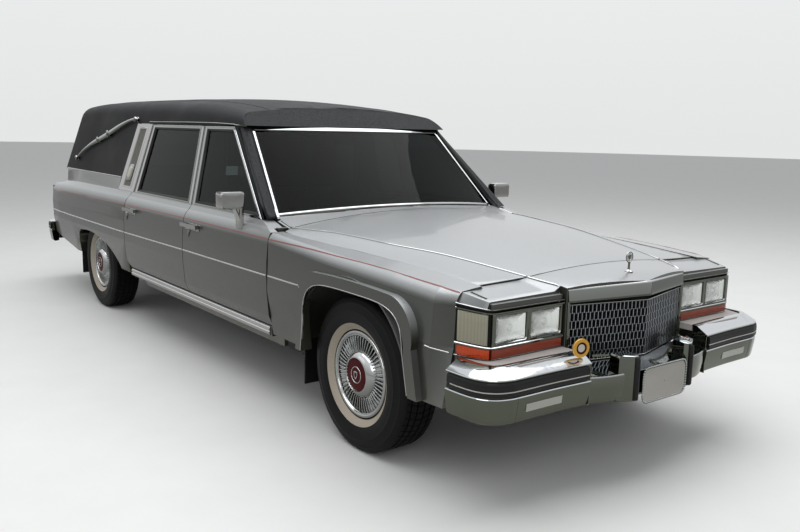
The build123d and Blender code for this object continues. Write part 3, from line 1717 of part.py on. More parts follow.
with BuildPart() as load_deck:
    with BuildSketch(level(deck_z + seat_gap)):
        with Locations(((deck_front_x + deck_rear_x) / 2, 0)):
            Rectangle(deck_front_x - deck_rear_x, 2 * (shell_half - 30))
        for side in (1, -1):
            with Locations((rear_axle_x, side * shell_half)):
                Rectangle(
                    2 * (arch_clear_radius + arch_wall) + 20,
                    2 * (shell_half - arch_inner_y + 20),
                    mode=Mode.SUBTRACT,
                )
    extrude(amount=deck_board)
    roller_count = int((deck_front_x - deck_rear_x - 300) / roller_pitch)
    with Locations(((deck_front_x + deck_rear_x) / 2, 0, deck_z + deck_board + 8)):
        with GridLocations(roller_pitch, 2 * roller_y, roller_count, 2):
            Cylinder(roller_radius, 90, rotation=(90, 0, 0))
    with Locations(((deck_front_x + deck_rear_x) / 2, 0, deck_z + deck_board + 4)):
        with GridLocations(0, 2 * roller_y + 140, 1, 2):
            Box(deck_front_x - deck_rear_x - 160, 26, 10)
finish(load_deck.part, "load_deck")

# Fuel tank, exhaust and mudflaps
tank_front_x = -2150
tank_rear_x = -2560
tank_top_z = 435
with BuildPart() as fuel_tank:
    with BuildSketch(level(255)):
        with Locations(((tank_front_x + tank_rear_x) / 2, 0)):
            RectangleRounded(tank_front_x - tank_rear_x, 2 * (rail_rear_y - rail_width - 12), 60)
    extrude(amount=tank_top_z - seat_gap - 255)
finish(fuel_tank.part, "fuel_tank")

exhaust_radius = 28
exhaust_y = -230
exhaust_z = 150
with BuildPart() as exhaust:
    with BuildLine() as pipe_path:
        FilletPolyline(
            (1560, -150, 360),
            (1480, -190, exhaust_z),
            (1250, exhaust_y, exhaust_z),
            (-1150, exhaust_y, exhaust_z),
            (-1440, -210, 500),
            (-1900, -215, 480),
            (-1990, -250, 345),
            (-2120, -450, 320),
            (-2700, -560, 320),
            radius=90,
        )
    with BuildSketch(pipe_path.line ^ 0):
        Circle(exhaust_radius)
    sweep()
    with Locations((-450, exhaust_y, exhaust_z + 16)):
        Cylinder(62, 560, rotation=(0, 90, 0))
    with Locations((-900, exhaust_y, exhaust_z)):
        Box(30, 16, 42 - seat_gap, align=(Align.CENTER, Align.CENTER, Align.MIN))
finish(exhaust.part, "exhaust")

flap_wall = 6
with BuildPart() as mudflaps:
    for side in (1, -1):
        for flap_x, low_z, high_z, y_in, y_out in (
            (1546, 200, tyre_radius + 70 - seat_gap, 690, 886),
            (rear_axle_x - arch_clear_radius - 2, 215, sill_bottom_z + 14 - seat_gap, 690, 905),
        ):
            with Locations((flap_x, side * (y_in + y_out) / 2, (low_z + high_z) / 2)):
                Box(flap_wall, y_out - y_in, high_z - low_z)
finish(mudflaps.part, "mudflaps")
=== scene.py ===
import bpy
import bmesh
import json
import math
from mathutils import Matrix, Vector
from mathutils.bvhtree import BVHTree


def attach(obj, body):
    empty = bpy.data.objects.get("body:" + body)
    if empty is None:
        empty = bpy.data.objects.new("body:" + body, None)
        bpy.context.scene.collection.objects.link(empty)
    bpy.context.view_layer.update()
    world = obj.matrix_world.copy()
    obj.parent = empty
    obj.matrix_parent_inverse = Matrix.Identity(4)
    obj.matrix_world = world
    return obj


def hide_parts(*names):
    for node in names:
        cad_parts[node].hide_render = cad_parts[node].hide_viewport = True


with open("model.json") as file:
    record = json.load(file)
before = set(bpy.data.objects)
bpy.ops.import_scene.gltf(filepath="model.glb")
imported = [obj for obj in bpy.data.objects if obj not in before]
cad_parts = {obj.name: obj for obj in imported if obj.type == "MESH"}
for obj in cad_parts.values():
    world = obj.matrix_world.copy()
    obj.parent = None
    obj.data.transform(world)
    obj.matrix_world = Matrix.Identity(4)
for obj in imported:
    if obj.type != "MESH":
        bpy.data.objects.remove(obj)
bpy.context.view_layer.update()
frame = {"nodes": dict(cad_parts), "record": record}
nodes = frame["nodes"]
print("frame loaded:", len(nodes), "nodes")

# camera, at the photograph's viewpoint; angles in degrees, roll in radians
view = {"place": (4.942, -2.912, 1.472), "yaw": 142.41, "pitch": -9.55, "roll": 0.022, "lens": 36.522}


def makeCamera():
    yaw, pitch = math.radians(view["yaw"]), math.radians(view["pitch"])
    ahead = Vector((math.cos(pitch) * math.cos(yaw), math.cos(pitch) * math.sin(yaw), math.sin(pitch)))
    right = Vector((math.sin(yaw), -math.cos(yaw), 0))
    up = right.cross(ahead)
    c, s = math.cos(view["roll"]), math.sin(view["roll"])
    camData = bpy.data.cameras.new("photoCamera")
    camData.lens, camData.sensor_width = view["lens"], 36
    camData.clip_start, camData.clip_end = 0.05, 200
    cam = bpy.data.objects.new("photoCamera", camData)
    turned = Matrix((c * right + s * up, -s * right + c * up, -ahead)).transposed().to_4x4()
    cam.matrix_world = Matrix.Translation(view["place"]) @ turned
    bpy.context.scene.collection.objects.link(cam)
    bpy.context.scene.camera = cam


makeCamera()


# shader helpers; an input takes a value or another node's output
def feed(tree, node, inputs):
    for label, value in inputs.items():
        if isinstance(value, bpy.types.NodeSocket):
            tree.links.new(value, node.inputs[label])
        else:
            node.inputs[label].default_value = value


def put(tree, kind, inputs=None, **settings):
    node = tree.nodes.new("ShaderNode" + kind)
    for label, value in settings.items():
        setattr(node, label, value)
    feed(tree, node, inputs or {})
    return node


def objectPlace(tree):
    return put(tree, "TexCoord").outputs["Object"]


def noise(tree, place, scale, detail, rough, output="Fac"):
    inputs = {"Vector": place, "Scale": scale, "Detail": detail, "Roughness": rough}
    return put(tree, "TexNoise", inputs).outputs[output]


def waves(tree, place, axis, scale, **more):
    return put(tree, "TexWave", {"Vector": place, "Scale": scale, **more}, bands_direction=axis).outputs["Fac"]


def remap(tree, source, low, high, toLow, toHigh, **settings):
    return put(tree, "MapRange", {
        "Value": source, "From Min": low, "From Max": high, "To Min": toLow, "To Max": toHigh}, **settings).outputs[0]


def maths(tree, kind, a, b, **settings):
    return put(tree, "Math", {0: a, 1: b}, operation=kind, **settings).outputs[0]


def mixed(tree, share, a, b, kind="MIX"):
    return put(tree, "Mix", {0: share, 6: a, 7: b}, data_type="RGBA", blend_type=kind).outputs[2]


def evenColour(tree, level):
    return put(tree, "CombineColor", {0: level, 1: level, 2: level}).outputs[0]


groups = {}


def newGroup(name, inputs, outputs):
    tree = groups[name] = bpy.data.node_groups.new(name, "ShaderNodeTree")
    for label, start in inputs.items():
        kind = "NodeSocketColor" if isinstance(start, tuple) else "NodeSocketFloat"
        tree.interface.new_socket(name=label, in_out="INPUT", socket_type=kind).default_value = start
    for label in outputs:
        kind = "NodeSocketColor" if label == "Colour" else "NodeSocketFloat"
        tree.interface.new_socket(name=label, in_out="OUTPUT", socket_type=kind)
    return tree, tree.nodes.new("NodeGroupInput").outputs, tree.nodes.new("NodeGroupOutput")


# soft tone changes and road dust low down, for paint and bright metal
def buildDustFilm():
    tree, start, end = newGroup("dustFilm", {
        "Colour": (0.5, 0.5, 0.5, 1), "Dust": (0.42, 0.38, 0.32, 1), "Amount": 0.3, "Top": 0.6, "Roughness": 0.3},
        ("Colour", "Roughness"))
    place = objectPlace(tree)
    height = put(tree, "SeparateXYZ", {0: place}).outputs["Z"]
    low = remap(tree, height, 0.05, start["Top"], 1, 0, interpolation_type="SMOOTHSTEP")
    broken = remap(tree, noise(tree, place, 5, 6, 0.62), 0.35, 0.7, 0.15, 1)
    share = maths(tree, "MULTIPLY", maths(tree, "MULTIPLY", low, broken), start["Amount"], use_clamp=True)
    ripple = remap(tree, noise(tree, place, 60, 2, 0.5), 0.3, 0.7, -0.02, 0.02)
    rough = maths(tree, "ADD", start["Roughness"], maths(tree, "MULTIPLY", share, 0.35))
    feed(tree, end, {"Colour": mixed(tree, share, start["Colour"], start["Dust"]),
                     "Roughness": maths(tree, "ADD", rough, ripple, use_clamp=True)})


# metallic flake and slow tone drift of sprayed paint
def buildPaintFlake():
    tree, start, end = newGroup(
        "paintFlake", {"Colour": (0.5, 0.5, 0.5, 1), "Flake": 0.12, "Size": 1500.0}, ("Colour", "Height"))
    place = objectPlace(tree)
    cells = put(tree, "TexVoronoi", {"Vector": place, "Scale": start["Size"]}).outputs["Color"]
    grey = put(tree, "RGBToBW", {0: cells}).outputs[0]
    flake = maths(tree, "MULTIPLY", remap(tree, grey, 0, 1, -0.5, 0.5), start["Flake"])
    slow = remap(tree, noise(tree, place, 1.3, 3, 0.5), 0.3, 0.7, 0.97, 1.03)
    level = evenColour(tree, maths(tree, "ADD", slow, flake))
    feed(tree, end, {"Colour": mixed(tree, 1, start["Colour"], level, "MULTIPLY"),
                     "Height": noise(tree, place, 260, 2, 0.4)})


# pebbled skin of vinyl and moulded plastic, with a fainter colour in the hollows
def buildSkinGrain():
    tree, start, end = newGroup("skinGrain", {
        "Colour": (0.03, 0.03, 0.03, 1), "Hollow": (0.01, 0.01, 0.01, 1), "Size": 320.0, "Chalk": 0.25},
        ("Colour", "Roughness", "Height"))
    place = objectPlace(tree)
    cells = put(tree, "TexVoronoi", {"Vector": place, "Scale": start["Size"]}, feature="SMOOTH_F1")
    pebble = remap(tree, cells.outputs["Distance"], 0.0, 0.7, 1, 0)
    fine = maths(tree, "MULTIPLY", noise(tree, place, 900, 2, 0.6), 0.25)
    weather = noise(tree, place, 2.2, 6, 0.6)
    chalk = maths(tree, "MULTIPLY", remap(tree, weather, 0.42, 0.72, 0, 1), start["Chalk"])
    base = mixed(tree, pebble, start["Hollow"], start["Colour"])
    feed(tree, end, {"Colour": mixed(tree, chalk, base, (0.16, 0.16, 0.165, 1)),
                     "Roughness": remap(tree, weather, 0.3, 0.7, 0.5, 0.68),
                     "Height": maths(tree, "ADD", pebble, fine)})


# crossed threads of cloth
def buildClothWeave():
    tree, start, end = newGroup("clothWeave", {
        "Warp": (0.1, 0.1, 0.11, 1), "Weft": (0.06, 0.06, 0.07, 1), "Threads": 420.0}, ("Colour", "Height"))
    place = objectPlace(tree)
    bands = [waves(tree, place, axis, start["Threads"], Distortion=0.6) for axis in ("X", "Z")]
    over = maths(tree, "MULTIPLY", *bands)
    fuzz = maths(tree, "MULTIPLY", noise(tree, place, 700, 3, 0.6), 0.5)
    threads = mixed(tree, over, start["Weft"], start["Warp"])
    blotch = noise(tree, place, 9, 4, 0.6, "Color")
    feed(tree, end, {"Colour": mixed(tree, 0.35, threads, blotch, "MULTIPLY"),
                     "Height": maths(tree, "ADD", over, fuzz)})


# scuffs, oil and rust of cast and rolled iron
def buildIronWear():
    tree, start, end = newGroup("ironWear", {
        "Colour": (0.05, 0.05, 0.05, 1), "Rust": (0.17, 0.075, 0.035, 1), "Amount": 0.4},
        ("Colour", "Roughness", "Height"))
    place = objectPlace(tree)
    patch = noise(tree, place, 11, 8, 0.68)
    share = maths(tree, "MULTIPLY", remap(tree, patch, 0.45, 0.66, 0, 1), start["Amount"])
    feed(tree, end, {"Colour": mixed(tree, share, start["Colour"], start["Rust"]),
                     "Roughness": remap(tree, patch, 0.3, 0.7, 0.45, 0.8),
                     "Height": noise(tree, place, 380, 4, 0.65)})


# painted light: the colour is paler where a face looks up (painted sky reflection and top light) and darker where it
# looks sideways or down (painted shade and ground reflection)
def buildPaintedSkyLight():
    tree, start, end = newGroup("paintedSkyLight", {
        "PaintedShadeSide": (0.2, 0.2, 0.2, 1), "PaintedLitTop": (0.5, 0.5, 0.5, 1), "Low": -0.1, "High": 0.9}, ("Colour",))
    normal = put(tree, "NewGeometry").outputs["Normal"]
    up = put(tree, "SeparateXYZ", {0: normal}).outputs["Z"]
    rise = remap(tree, up, start["Low"], start["High"], 0, 1, interpolation_type="SMOOTHSTEP")
    feed(tree, end, {"Colour": mixed(tree, rise, start["PaintedShadeSide"], start["PaintedLitTop"])})


for buildGroup in (buildPaintedSkyLight, buildDustFilm, buildPaintFlake, buildSkinGrain, buildClothWeave, buildIronWear):
    buildGroup()


def newMaterial(name, settings):
    mat = bpy.data.materials.new(name)
    mat.use_nodes = True
    shader = mat.node_tree.nodes["Principled BSDF"]
    feed(mat.node_tree, shader, settings)
    return mat, mat.node_tree, shader


def placeGroup(tree, name, inputs):
    return put(tree, "Group", inputs, node_tree=groups[name]).outputs


# mixes a dark shaded colour and a pale lit colour by which way the face looks: painted light and shade
def withPaintedSkyLight(tree, colour, over, limits):
    if not over:
        return (*colour, 1)
    return placeGroup(tree, "paintedSkyLight", {"PaintedShadeSide": (*colour, 1), "PaintedLitTop": (*over, 1), **limits})["Colour"]


def addBump(tree, shader, height, depth, strength):
    bump = put(tree, "Bump", {"Distance": depth, "Strength": strength, "Height": height})
    feed(tree, shader, {"Normal": bump.outputs["Normal"]})


def dress(tree, shader, made):
    # colour and, where the group makes it, roughness
    for label, source in (("Base Color", "Colour"), ("Roughness", "Roughness")):
        if source in made:
            feed(tree, shader, {label: made[source]})


def paintMaterial(name, colour, flake=0.14, metallic=0.55, rough=0.36, dust=0.35, over=None):
    mat, tree, shader = newMaterial(name, {
        "Metallic": metallic, "Coat Weight": 0.4, "Coat Roughness": 0.06, "Coat IOR": 1.4})
    # over: colour for faces that look up, the base colour for faces that look sideways or down; painted sky
    # reflection and painted shade
    flakes = placeGroup(tree, "paintFlake", {"Colour": withPaintedSkyLight(tree, colour, over, {}), "Flake": flake})
    film = placeGroup(tree, "dustFilm", {"Colour": flakes["Colour"], "Amount": dust, "Top": 0.62, "Roughness": rough})
    dress(tree, shader, film)
    addBump(tree, shader, flakes["Height"], 0.00006, 0.25)
    return mat


def brightMaterial(name, colour, rough, dust=0.25, dustTop=0.5, over=None):
    mat, tree, shader = newMaterial(name, {"Metallic": 1.0})
    # over: colour for faces that look up, the base colour for faces that look sideways or down; painted sky
    # reflection and painted shade
    dress(tree, shader, placeGroup(tree, "dustFilm", {
        "Colour": withPaintedSkyLight(tree, colour, over, {}), "Dust": (0.22, 0.2, 0.17, 1), "Amount": dust, "Top": dustTop,
        "Roughness": rough}))
    return mat


def skinMaterial(name, colour, hollow, size, depth, chalk=0.0, strength=0.6, clear=0.0, over=None):
    mat, tree, shader = newMaterial(name, {"Coat Weight": clear, "Specular IOR Level": 0.14})
    # over: colour for faces that look up, the base colour for faces that look sideways or down; painted sky
    # reflection and painted shade
    tone = withPaintedSkyLight(tree, colour, over, {"Low": 0.35, "High": 1.0})
    grain = placeGroup(tree, "skinGrain", {"Colour": tone, "Hollow": (*hollow, 1), "Size": size, "Chalk": chalk})
    dress(tree, shader, grain)
    addBump(tree, shader, grain["Height"], depth, strength)
    return mat


def clothMaterial(name, warp, weft, threads):
    mat, tree, shader = newMaterial(name, {"Roughness": 0.9, "Sheen Weight": 0.35, "Sheen Roughness": 0.5})
    weave = placeGroup(tree, "clothWeave", {"Warp": (*warp, 1), "Weft": (*weft, 1), "Threads": threads})
    dress(tree, shader, weave)
    addBump(tree, shader, weave["Height"], 0.0006, 0.6)
    return mat


def ironMaterial(name, colour, rust, amount, metallic=0.3):
    mat, tree, shader = newMaterial(name, {"Metallic": metallic})
    wear = placeGroup(tree, "ironWear", {"Colour": (*colour, 1), "Rust": (*rust, 1), "Amount": amount})
    dress(tree, shader, wear)
    addBump(tree, shader, wear["Height"], 0.0008, 0.5)
    return mat


def glassMaterial(name, colour, ribs=None, ior=1.14):
    mat, tree, shader = newMaterial(name, {
        "Base Color": (*colour, 1), "Roughness": 0.0, "IOR": ior, "Transmission Weight": 1.0})
    place = objectPlace(tree)
    if ribs:
        addBump(tree, shader, waves(tree, place, *ribs), 0.001, 0.7)
    else:
        addBump(tree, shader, noise(tree, place, 1.8, 2, 0.4), 0.0015, 0.35)
    return mat


def lensMaterial(name, colour, ribs, depth=0.0012, rough=0.14):
    mat, tree, shader = newMaterial(name, {
        "Roughness": rough, "Coat Weight": 0.3, "Coat Roughness": 0.04, "Specular IOR Level": 0.25})
    stripes = waves(tree, objectPlace(tree), *ribs)
    shade = evenColour(tree, remap(tree, stripes, 0, 1, 0.93, 1.06))
    feed(tree, shader, {"Base Color": mixed(tree, 1, (*colour, 1), shade, "MULTIPLY")})
    addBump(tree, shader, stripes, depth, 0.8)
    return mat


def fineSkin(name, colour, hollow, chalk=0.0, strength=0.1, clear=0.0):
    return skinMaterial(name, colour, hollow, 300, 0.0001, chalk, strength, clear)


# finishes of the car: first the material slots of the part, then those that only scene.py uses
finish = {
    # body_paint, vinyl, bright, bright_trim and wheel_cover: the first colour is painted shade and ground reflection
    # for faces that look sideways or down, the over colour painted sky reflection and light for faces that look up
    "body_paint": paintMaterial("silverPaint", (0.04, 0.042, 0.032), over=(0.44, 0.455, 0.465)),
    "vinyl": skinMaterial("roofVinyl", (0.007, 0.007, 0.0085), (0.003, 0.003, 0.004), 260, 0.0009, 0.05,
                          over=(0.1, 0.107, 0.115)),
    "bright": brightMaterial("brightChrome", (0.088, 0.094, 0.072), 0.06, over=(0.62, 0.64, 0.66)),
    "bright_trim": brightMaterial("polishedTrim", (0.3, 0.3, 0.285), 0.14, over=(0.7, 0.71, 0.72)),
    "window_glass": glassMaterial("tintedGlass", (0.07, 0.09, 0.09)),
    "lamp_glass": glassMaterial("lampGlass", (0.95, 0.97, 0.96), ("Y", 55.0), 1.3),
    "amber_lens": lensMaterial("amberLens", (0.66, 0.065, 0.002), ("Y", 60.0)),
    "red_lens": lensMaterial("redLens", (0.45, 0.012, 0.012), ("Z", 60.0)),
    "underbody": ironMaterial("underSealer", (0.022, 0.022, 0.023), (0.09, 0.06, 0.04), 0.35, 0.0),
    "iron": ironMaterial("chassisIron", (0.045, 0.044, 0.043), (0.16, 0.075, 0.035), 0.45),
    "engine_paint": ironMaterial("enginePaint", (0.03, 0.07, 0.16), (0.08, 0.05, 0.035), 0.35),
    "tyre": skinMaterial("tyreRubber", (0.006, 0.006, 0.0066), (0.003, 0.003, 0.003), 140, 0.0004, 0.04, 0.3),
    # painted shade on the sides and painted sky reflection on top, as for the chromes above
    "wheel_cover": brightMaterial("wheelChrome", (0.25, 0.26, 0.25), 0.12, over=(0.7, 0.71, 0.72)),
    "black_rubber": skinMaterial("blackRubber", (0.009, 0.009, 0.011), (0.005, 0.005, 0.005), 500, 0.0002, 0.05, 0.3,
                                 0.2),
    "seat_cloth": clothMaterial("seatCloth", (0.045, 0.045, 0.05), (0.02, 0.02, 0.024), 300.0),
    "cabin_plastic": skinMaterial("cabinPlastic", (0.022, 0.022, 0.025), (0.01, 0.01, 0.012), 600, 0.0003, 0.08, 0.5),
    "lining": clothMaterial("cabinLining", (0.05, 0.05, 0.055), (0.03, 0.03, 0.034), 260.0),
    "deck_wood": skinMaterial("deckWood", (0.2, 0.09, 0.035), (0.1, 0.045, 0.02), 40, 0.0002, 0.05, 0.3, 0.5),
    "whitewall": fineSkin("whitewallRubber", (0.6, 0.53, 0.45), (0.5, 0.43, 0.36), strength=0.2, clear=0.2),
    "pinstripe": paintMaterial("stripeRed", (0.22, 0.05, 0.045), 0.02, 0.0, 0.4, 0.15),
    "hub_red": fineSkin("hubRed", (0.085, 0.004, 0.006), (0.06, 0.003, 0.004)),
    "badge_yellow": paintMaterial("badgeYellow", (0.82, 0.42, 0.03), 0.02, 0.0, 0.35, 0.1),
    "badge_white": paintMaterial("badgeWhite", (0.72, 0.7, 0.66), 0.02, 0.0, 0.4, 0.1),
    # pale colour on the bumper's lower chrome face: a painted reflection of the floor
    "painted_reflection": paintMaterial("paintedPaleReflection", (0.6, 0.6, 0.56), 0.02, 0.0, 0.3, 0.2),
    "corner_lens": lensMaterial("cornerLens", (0.4, 0.385, 0.29), ("Y", 50.0), 0.0006, 0.12),
    "amber_dark": lensMaterial("amberDark", (0.3, 0.035, 0.006), ("Y", 90.0), 0.0006, 0.2),
    "gap_black": skinMaterial("gapBlack", (0.006, 0.006, 0.006), (0.004, 0.004, 0.004), 500, 0.0001, 0.0, 0.1),
    "grille_bar": brightMaterial("grilleBars", (0.3, 0.32, 0.335), 0.3, 0.3, 0.9),
    "lamp_bowl": brightMaterial("lampReflector", (0.9, 0.91, 0.89), 0.22, 0.0),
    # paler colour for the body-colour ledge over the bumper: painted light that the ledge catches
    "ledge_grey": fineSkin("ledgePaintedLight", (0.58, 0.55, 0.53), (0.48, 0.46, 0.44)),
    "lamp_panel": skinMaterial("lampPanelVinyl", (0.3, 0.3, 0.28), (0.12, 0.115, 0.1), 420, 0.0002, 0.0, 0.4),
    "plate_white": paintMaterial("plateWhite", (0.5, 0.48, 0.45), 0.01, 0.0, 0.4, 0.2),
    "opal": lensMaterial("opalLens", (0.6, 0.58, 0.5), ("Z", 90.0), 0.0005, 0.2),
}
# the part's slot that an extra finish counts as
nearSlot = {
    "whitewall": "tyre", "pinstripe": "body_paint", "badge_yellow": "bright", "badge_white": "bright",
    "painted_reflection": "bright", "corner_lens": "lamp_glass", "gap_black": "black_rubber", "amber_dark": "amber_lens",
    "lamp_bowl": "bright_trim", "grille_bar": "bright", "plate_white": "bright_trim", "opal": "lamp_glass",
}

hands = ((-1, "right"), (1, "left"))


def mm(*table):
    # a table written in millimetres, in the metres of the frame
    return tuple(mm(*value) if isinstance(value, tuple) else value / 1000 for value in table)


# mesh tools: a Shape gathers points and faces and becomes one object
class Shape:
    def __init__(self):
        self.points, self.faces, self.marks = [], [], []

    def add(self, points, faces, marks=None):
        base = len(self.points)
        self.points += [Vector(p) for p in points]
        self.faces += [[base + i for i in face] for face in faces]
        self.marks += marks or [0] * len(faces)

    def grid(self, rows, mark=0, closeRow=False, closeAlong=False, caps=False, marks=None):
        wide, count = len(rows[0]), len(rows)
        faces, tags = [], []
        for r in range(count if closeAlong else count - 1):
            for c in range(wide if closeRow else wide - 1):
                nextRow, nextCol = (r + 1) % count, (c + 1) % wide
                faces.append((r * wide + c, r * wide + nextCol, nextRow * wide + nextCol, nextRow * wide + c))
                tags.append(marks[c] if marks else mark)
        if caps:
            faces += [tuple(reversed(range(wide))), tuple(range((count - 1) * wide, count * wide))]
            tags += [mark, mark]
        self.add([p for row in rows for p in row], faces, tags)

    def tube(self, rows, mark=0, caps=False):
        self.grid(rows, mark, closeRow=True, caps=caps)

    def lathe(self, profile, centre, segments=96, mark=0, side=1):
        rows = [[Vector(centre) + Vector((r * c, side * y, r * s)) for r, y in profile] for c, s in circle(segments)]
        self.grid(rows, mark, closeAlong=True)

    def box(self, low, high, mark=0):
        points = [(x, y, z) for x in (low[0], high[0]) for y in (low[1], high[1]) for z in (low[2], high[2])]
        faces = [(0, 1, 3, 2), (4, 6, 7, 5), (0, 4, 5, 1), (2, 3, 7, 6), (0, 2, 6, 4), (1, 5, 7, 3)]
        self.add(points, faces, [mark] * 6)

    def prism(self, outline, lift, mark=0):
        n = len(outline)
        faces = [tuple(range(n)), tuple(reversed(range(n, 2 * n)))]
        faces += [(i, i + n, (i + 1) % n + n, (i + 1) % n) for i in range(n)]
        self.add(list(outline) + [Vector(p) + Vector(lift) for p in outline], faces, [mark] * len(faces))

    def strip(self, points, ups, profile):
        rows = []
        for i, point in enumerate(points):
            along = (points[min(i + 1, len(points) - 1)] - points[max(i - 1, 0)]).normalized()
            across = along.cross(ups[i]).normalized()
            out = across.cross(along).normalized()
            rows.append([point + across * a + out * b for a, b in profile])
        self.tube(rows, caps=True)

    def bothSides(self):
        # adds the mirror image across the car's middle
        base = len(self.points)
        self.points += [Vector((p.x, -p.y, p.z)) for p in self.points]
        self.faces += [[base + i for i in reversed(face)] for face in self.faces]
        self.marks += self.marks
        return self

    def build(self, name, slots, body="root", replaces=(), angle=38, bevel=0, subdivide=0):
        mesh = bpy.data.meshes.new(name)
        mesh.from_pydata([tuple(p) for p in self.points], [], self.faces)
        for slotName in slots:
            mesh.materials.append(finish[slotName])
        mesh.polygons.foreach_set("material_index", self.marks)
        bm = bmesh.new()
        bm.from_mesh(mesh)
        bmesh.ops.remove_doubles(bm, verts=bm.verts, dist=0.00002)
        bmesh.ops.recalc_face_normals(bm, faces=bm.faces)
        bm.to_mesh(mesh)
        bm.free()
        mesh.shade_smooth()
        mesh.set_sharp_from_angle(angle=math.radians(angle))
        obj = bpy.data.objects.new(name, mesh)
        bpy.context.scene.collection.objects.link(obj)
        if bevel:
            mod = obj.modifiers.new("edges", "BEVEL")
            mod.width, mod.segments, mod.limit_method = bevel, 2, "ANGLE"
            mod.angle_limit = math.radians(30)
        if subdivide:
            mod = obj.modifiers.new("smooth", "SUBSURF")
            mod.levels = mod.render_levels = subdivide
        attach(obj, body)
        if replaces:
            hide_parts(*replaces)
        nearSlot.get(slots[0], slots[0])
        return obj


def circle(count):
    return [(math.cos(a), math.sin(a)) for a in (2 * math.pi * k / count for k in range(count))]


def roundedRect(y0, y1, z0, z1, radius, steps=5):
    points = []
    for cy, cz, start in ((y1 - radius, z1 - radius, 0), (y0 + radius, z1 - radius, 90),
                          (y0 + radius, z0 + radius, 180), (y1 - radius, z0 + radius, 270)):
        for k in range(steps + 1):
            a = math.radians(start + 90 * k / steps)
            points.append((cy + radius * math.cos(a), cz + radius * math.sin(a)))
    return points


def smoothLine(points, steps=8):
    out = []
    pts = [Vector(p) for p in points]
    for i in range(len(pts) - 1):
        p0, p1, p2, p3 = pts[max(i - 1, 0)], pts[i], pts[i + 1], pts[min(i + 2, len(pts) - 1)]
        for k in range(steps):
            t = k / steps
            out.append(0.5 * ((2 * p1) + (p2 - p0) * t + (2 * p0 - 5 * p1 + 4 * p2 - p3) * t * t
                              + (3 * p1 - p0 - 3 * p2 + p3) * t * t * t))
    return out + [pts[-1]]


def runLine(points, step=0.02):
    out = []
    pts = [Vector(p) for p in points]
    for a, b in zip(pts, pts[1:]):
        n = max(1, int((b - a).length / step))
        out += [a.lerp(b, k / n) for k in range(n)]
    return out + [pts[-1]]


# sections of strips, as (across, out of the surface)
def halfRound(width, height, sink=0.004, steps=6):
    half, turns = width / 2, [math.pi * k / steps for k in range(steps + 1)]
    return [(half, -sink)] + [(half * math.cos(a), height * math.sin(a)) for a in turns] + [(-half, -sink)]


def flatBar(width, height, sink, round=0.001):
    return mirrorSection(((width / 2, -sink), (width / 2, height - round), (width / 2 - round, height)))


def flatStrip(half, height, sink=0.002):
    return mirrorSection(((half, -sink), (half, height)))


def mirrorSection(points, middle=()):
    return [*points, *middle] + [(-a, b) for a, b in reversed(points)]


surfaces = {}


def castOn(names, start, way):
    # where a straight look from start meets the named nodes, and the normal that faces back
    if names not in surfaces:
        points, faces = [], []
        for name in names:
            base = len(points)
            points += [v.co.copy() for v in nodes[name].data.vertices]
            faces += [[base + i for i in p.vertices] for p in nodes[name].data.polygons]
        surfaces[names] = BVHTree.FromPolygons(points, faces)
    way = Vector(way).normalized()
    point, normal, index, length = surfaces[names].ray_cast(Vector(start), way)
    if point is None:
        return None, None
    return point, (normal if normal.dot(way) < 0 else -normal)


def castLine(names, starts, way, keep=None):
    points, ups = [], []
    for p in starts:
        point, up = castOn(names, p, way)
        if point is not None and (keep is None or keep(point)):
            points.append(point)
            ups.append(up)
    return points, ups


def lineOnTop(names, line, step=0.02):
    return castLine(names, [(p.x, p.y, 2.4) for p in runLine([(x, y, 0) for x, y in line], step)], (0, 0, -1))


def planRows(flat, place, start=0.0, stop=1.0):
    # rows along a plan line; place turns a point, its outward direction and its number into a row
    total = sum((b - a).length for a, b in zip(flat, flat[1:]))
    rows, gone = [], 0.0
    for i, p in enumerate(flat):
        if i:
            gone += (p - flat[i - 1]).length
        if start <= gone / total <= stop:
            along = (flat[min(i + 1, len(flat) - 1)] - flat[max(i - 1, 0)]).normalized()
            rows.append(place(p, Vector((along.y, -along.x, 0)), i))
    return rows


print("tools ready")

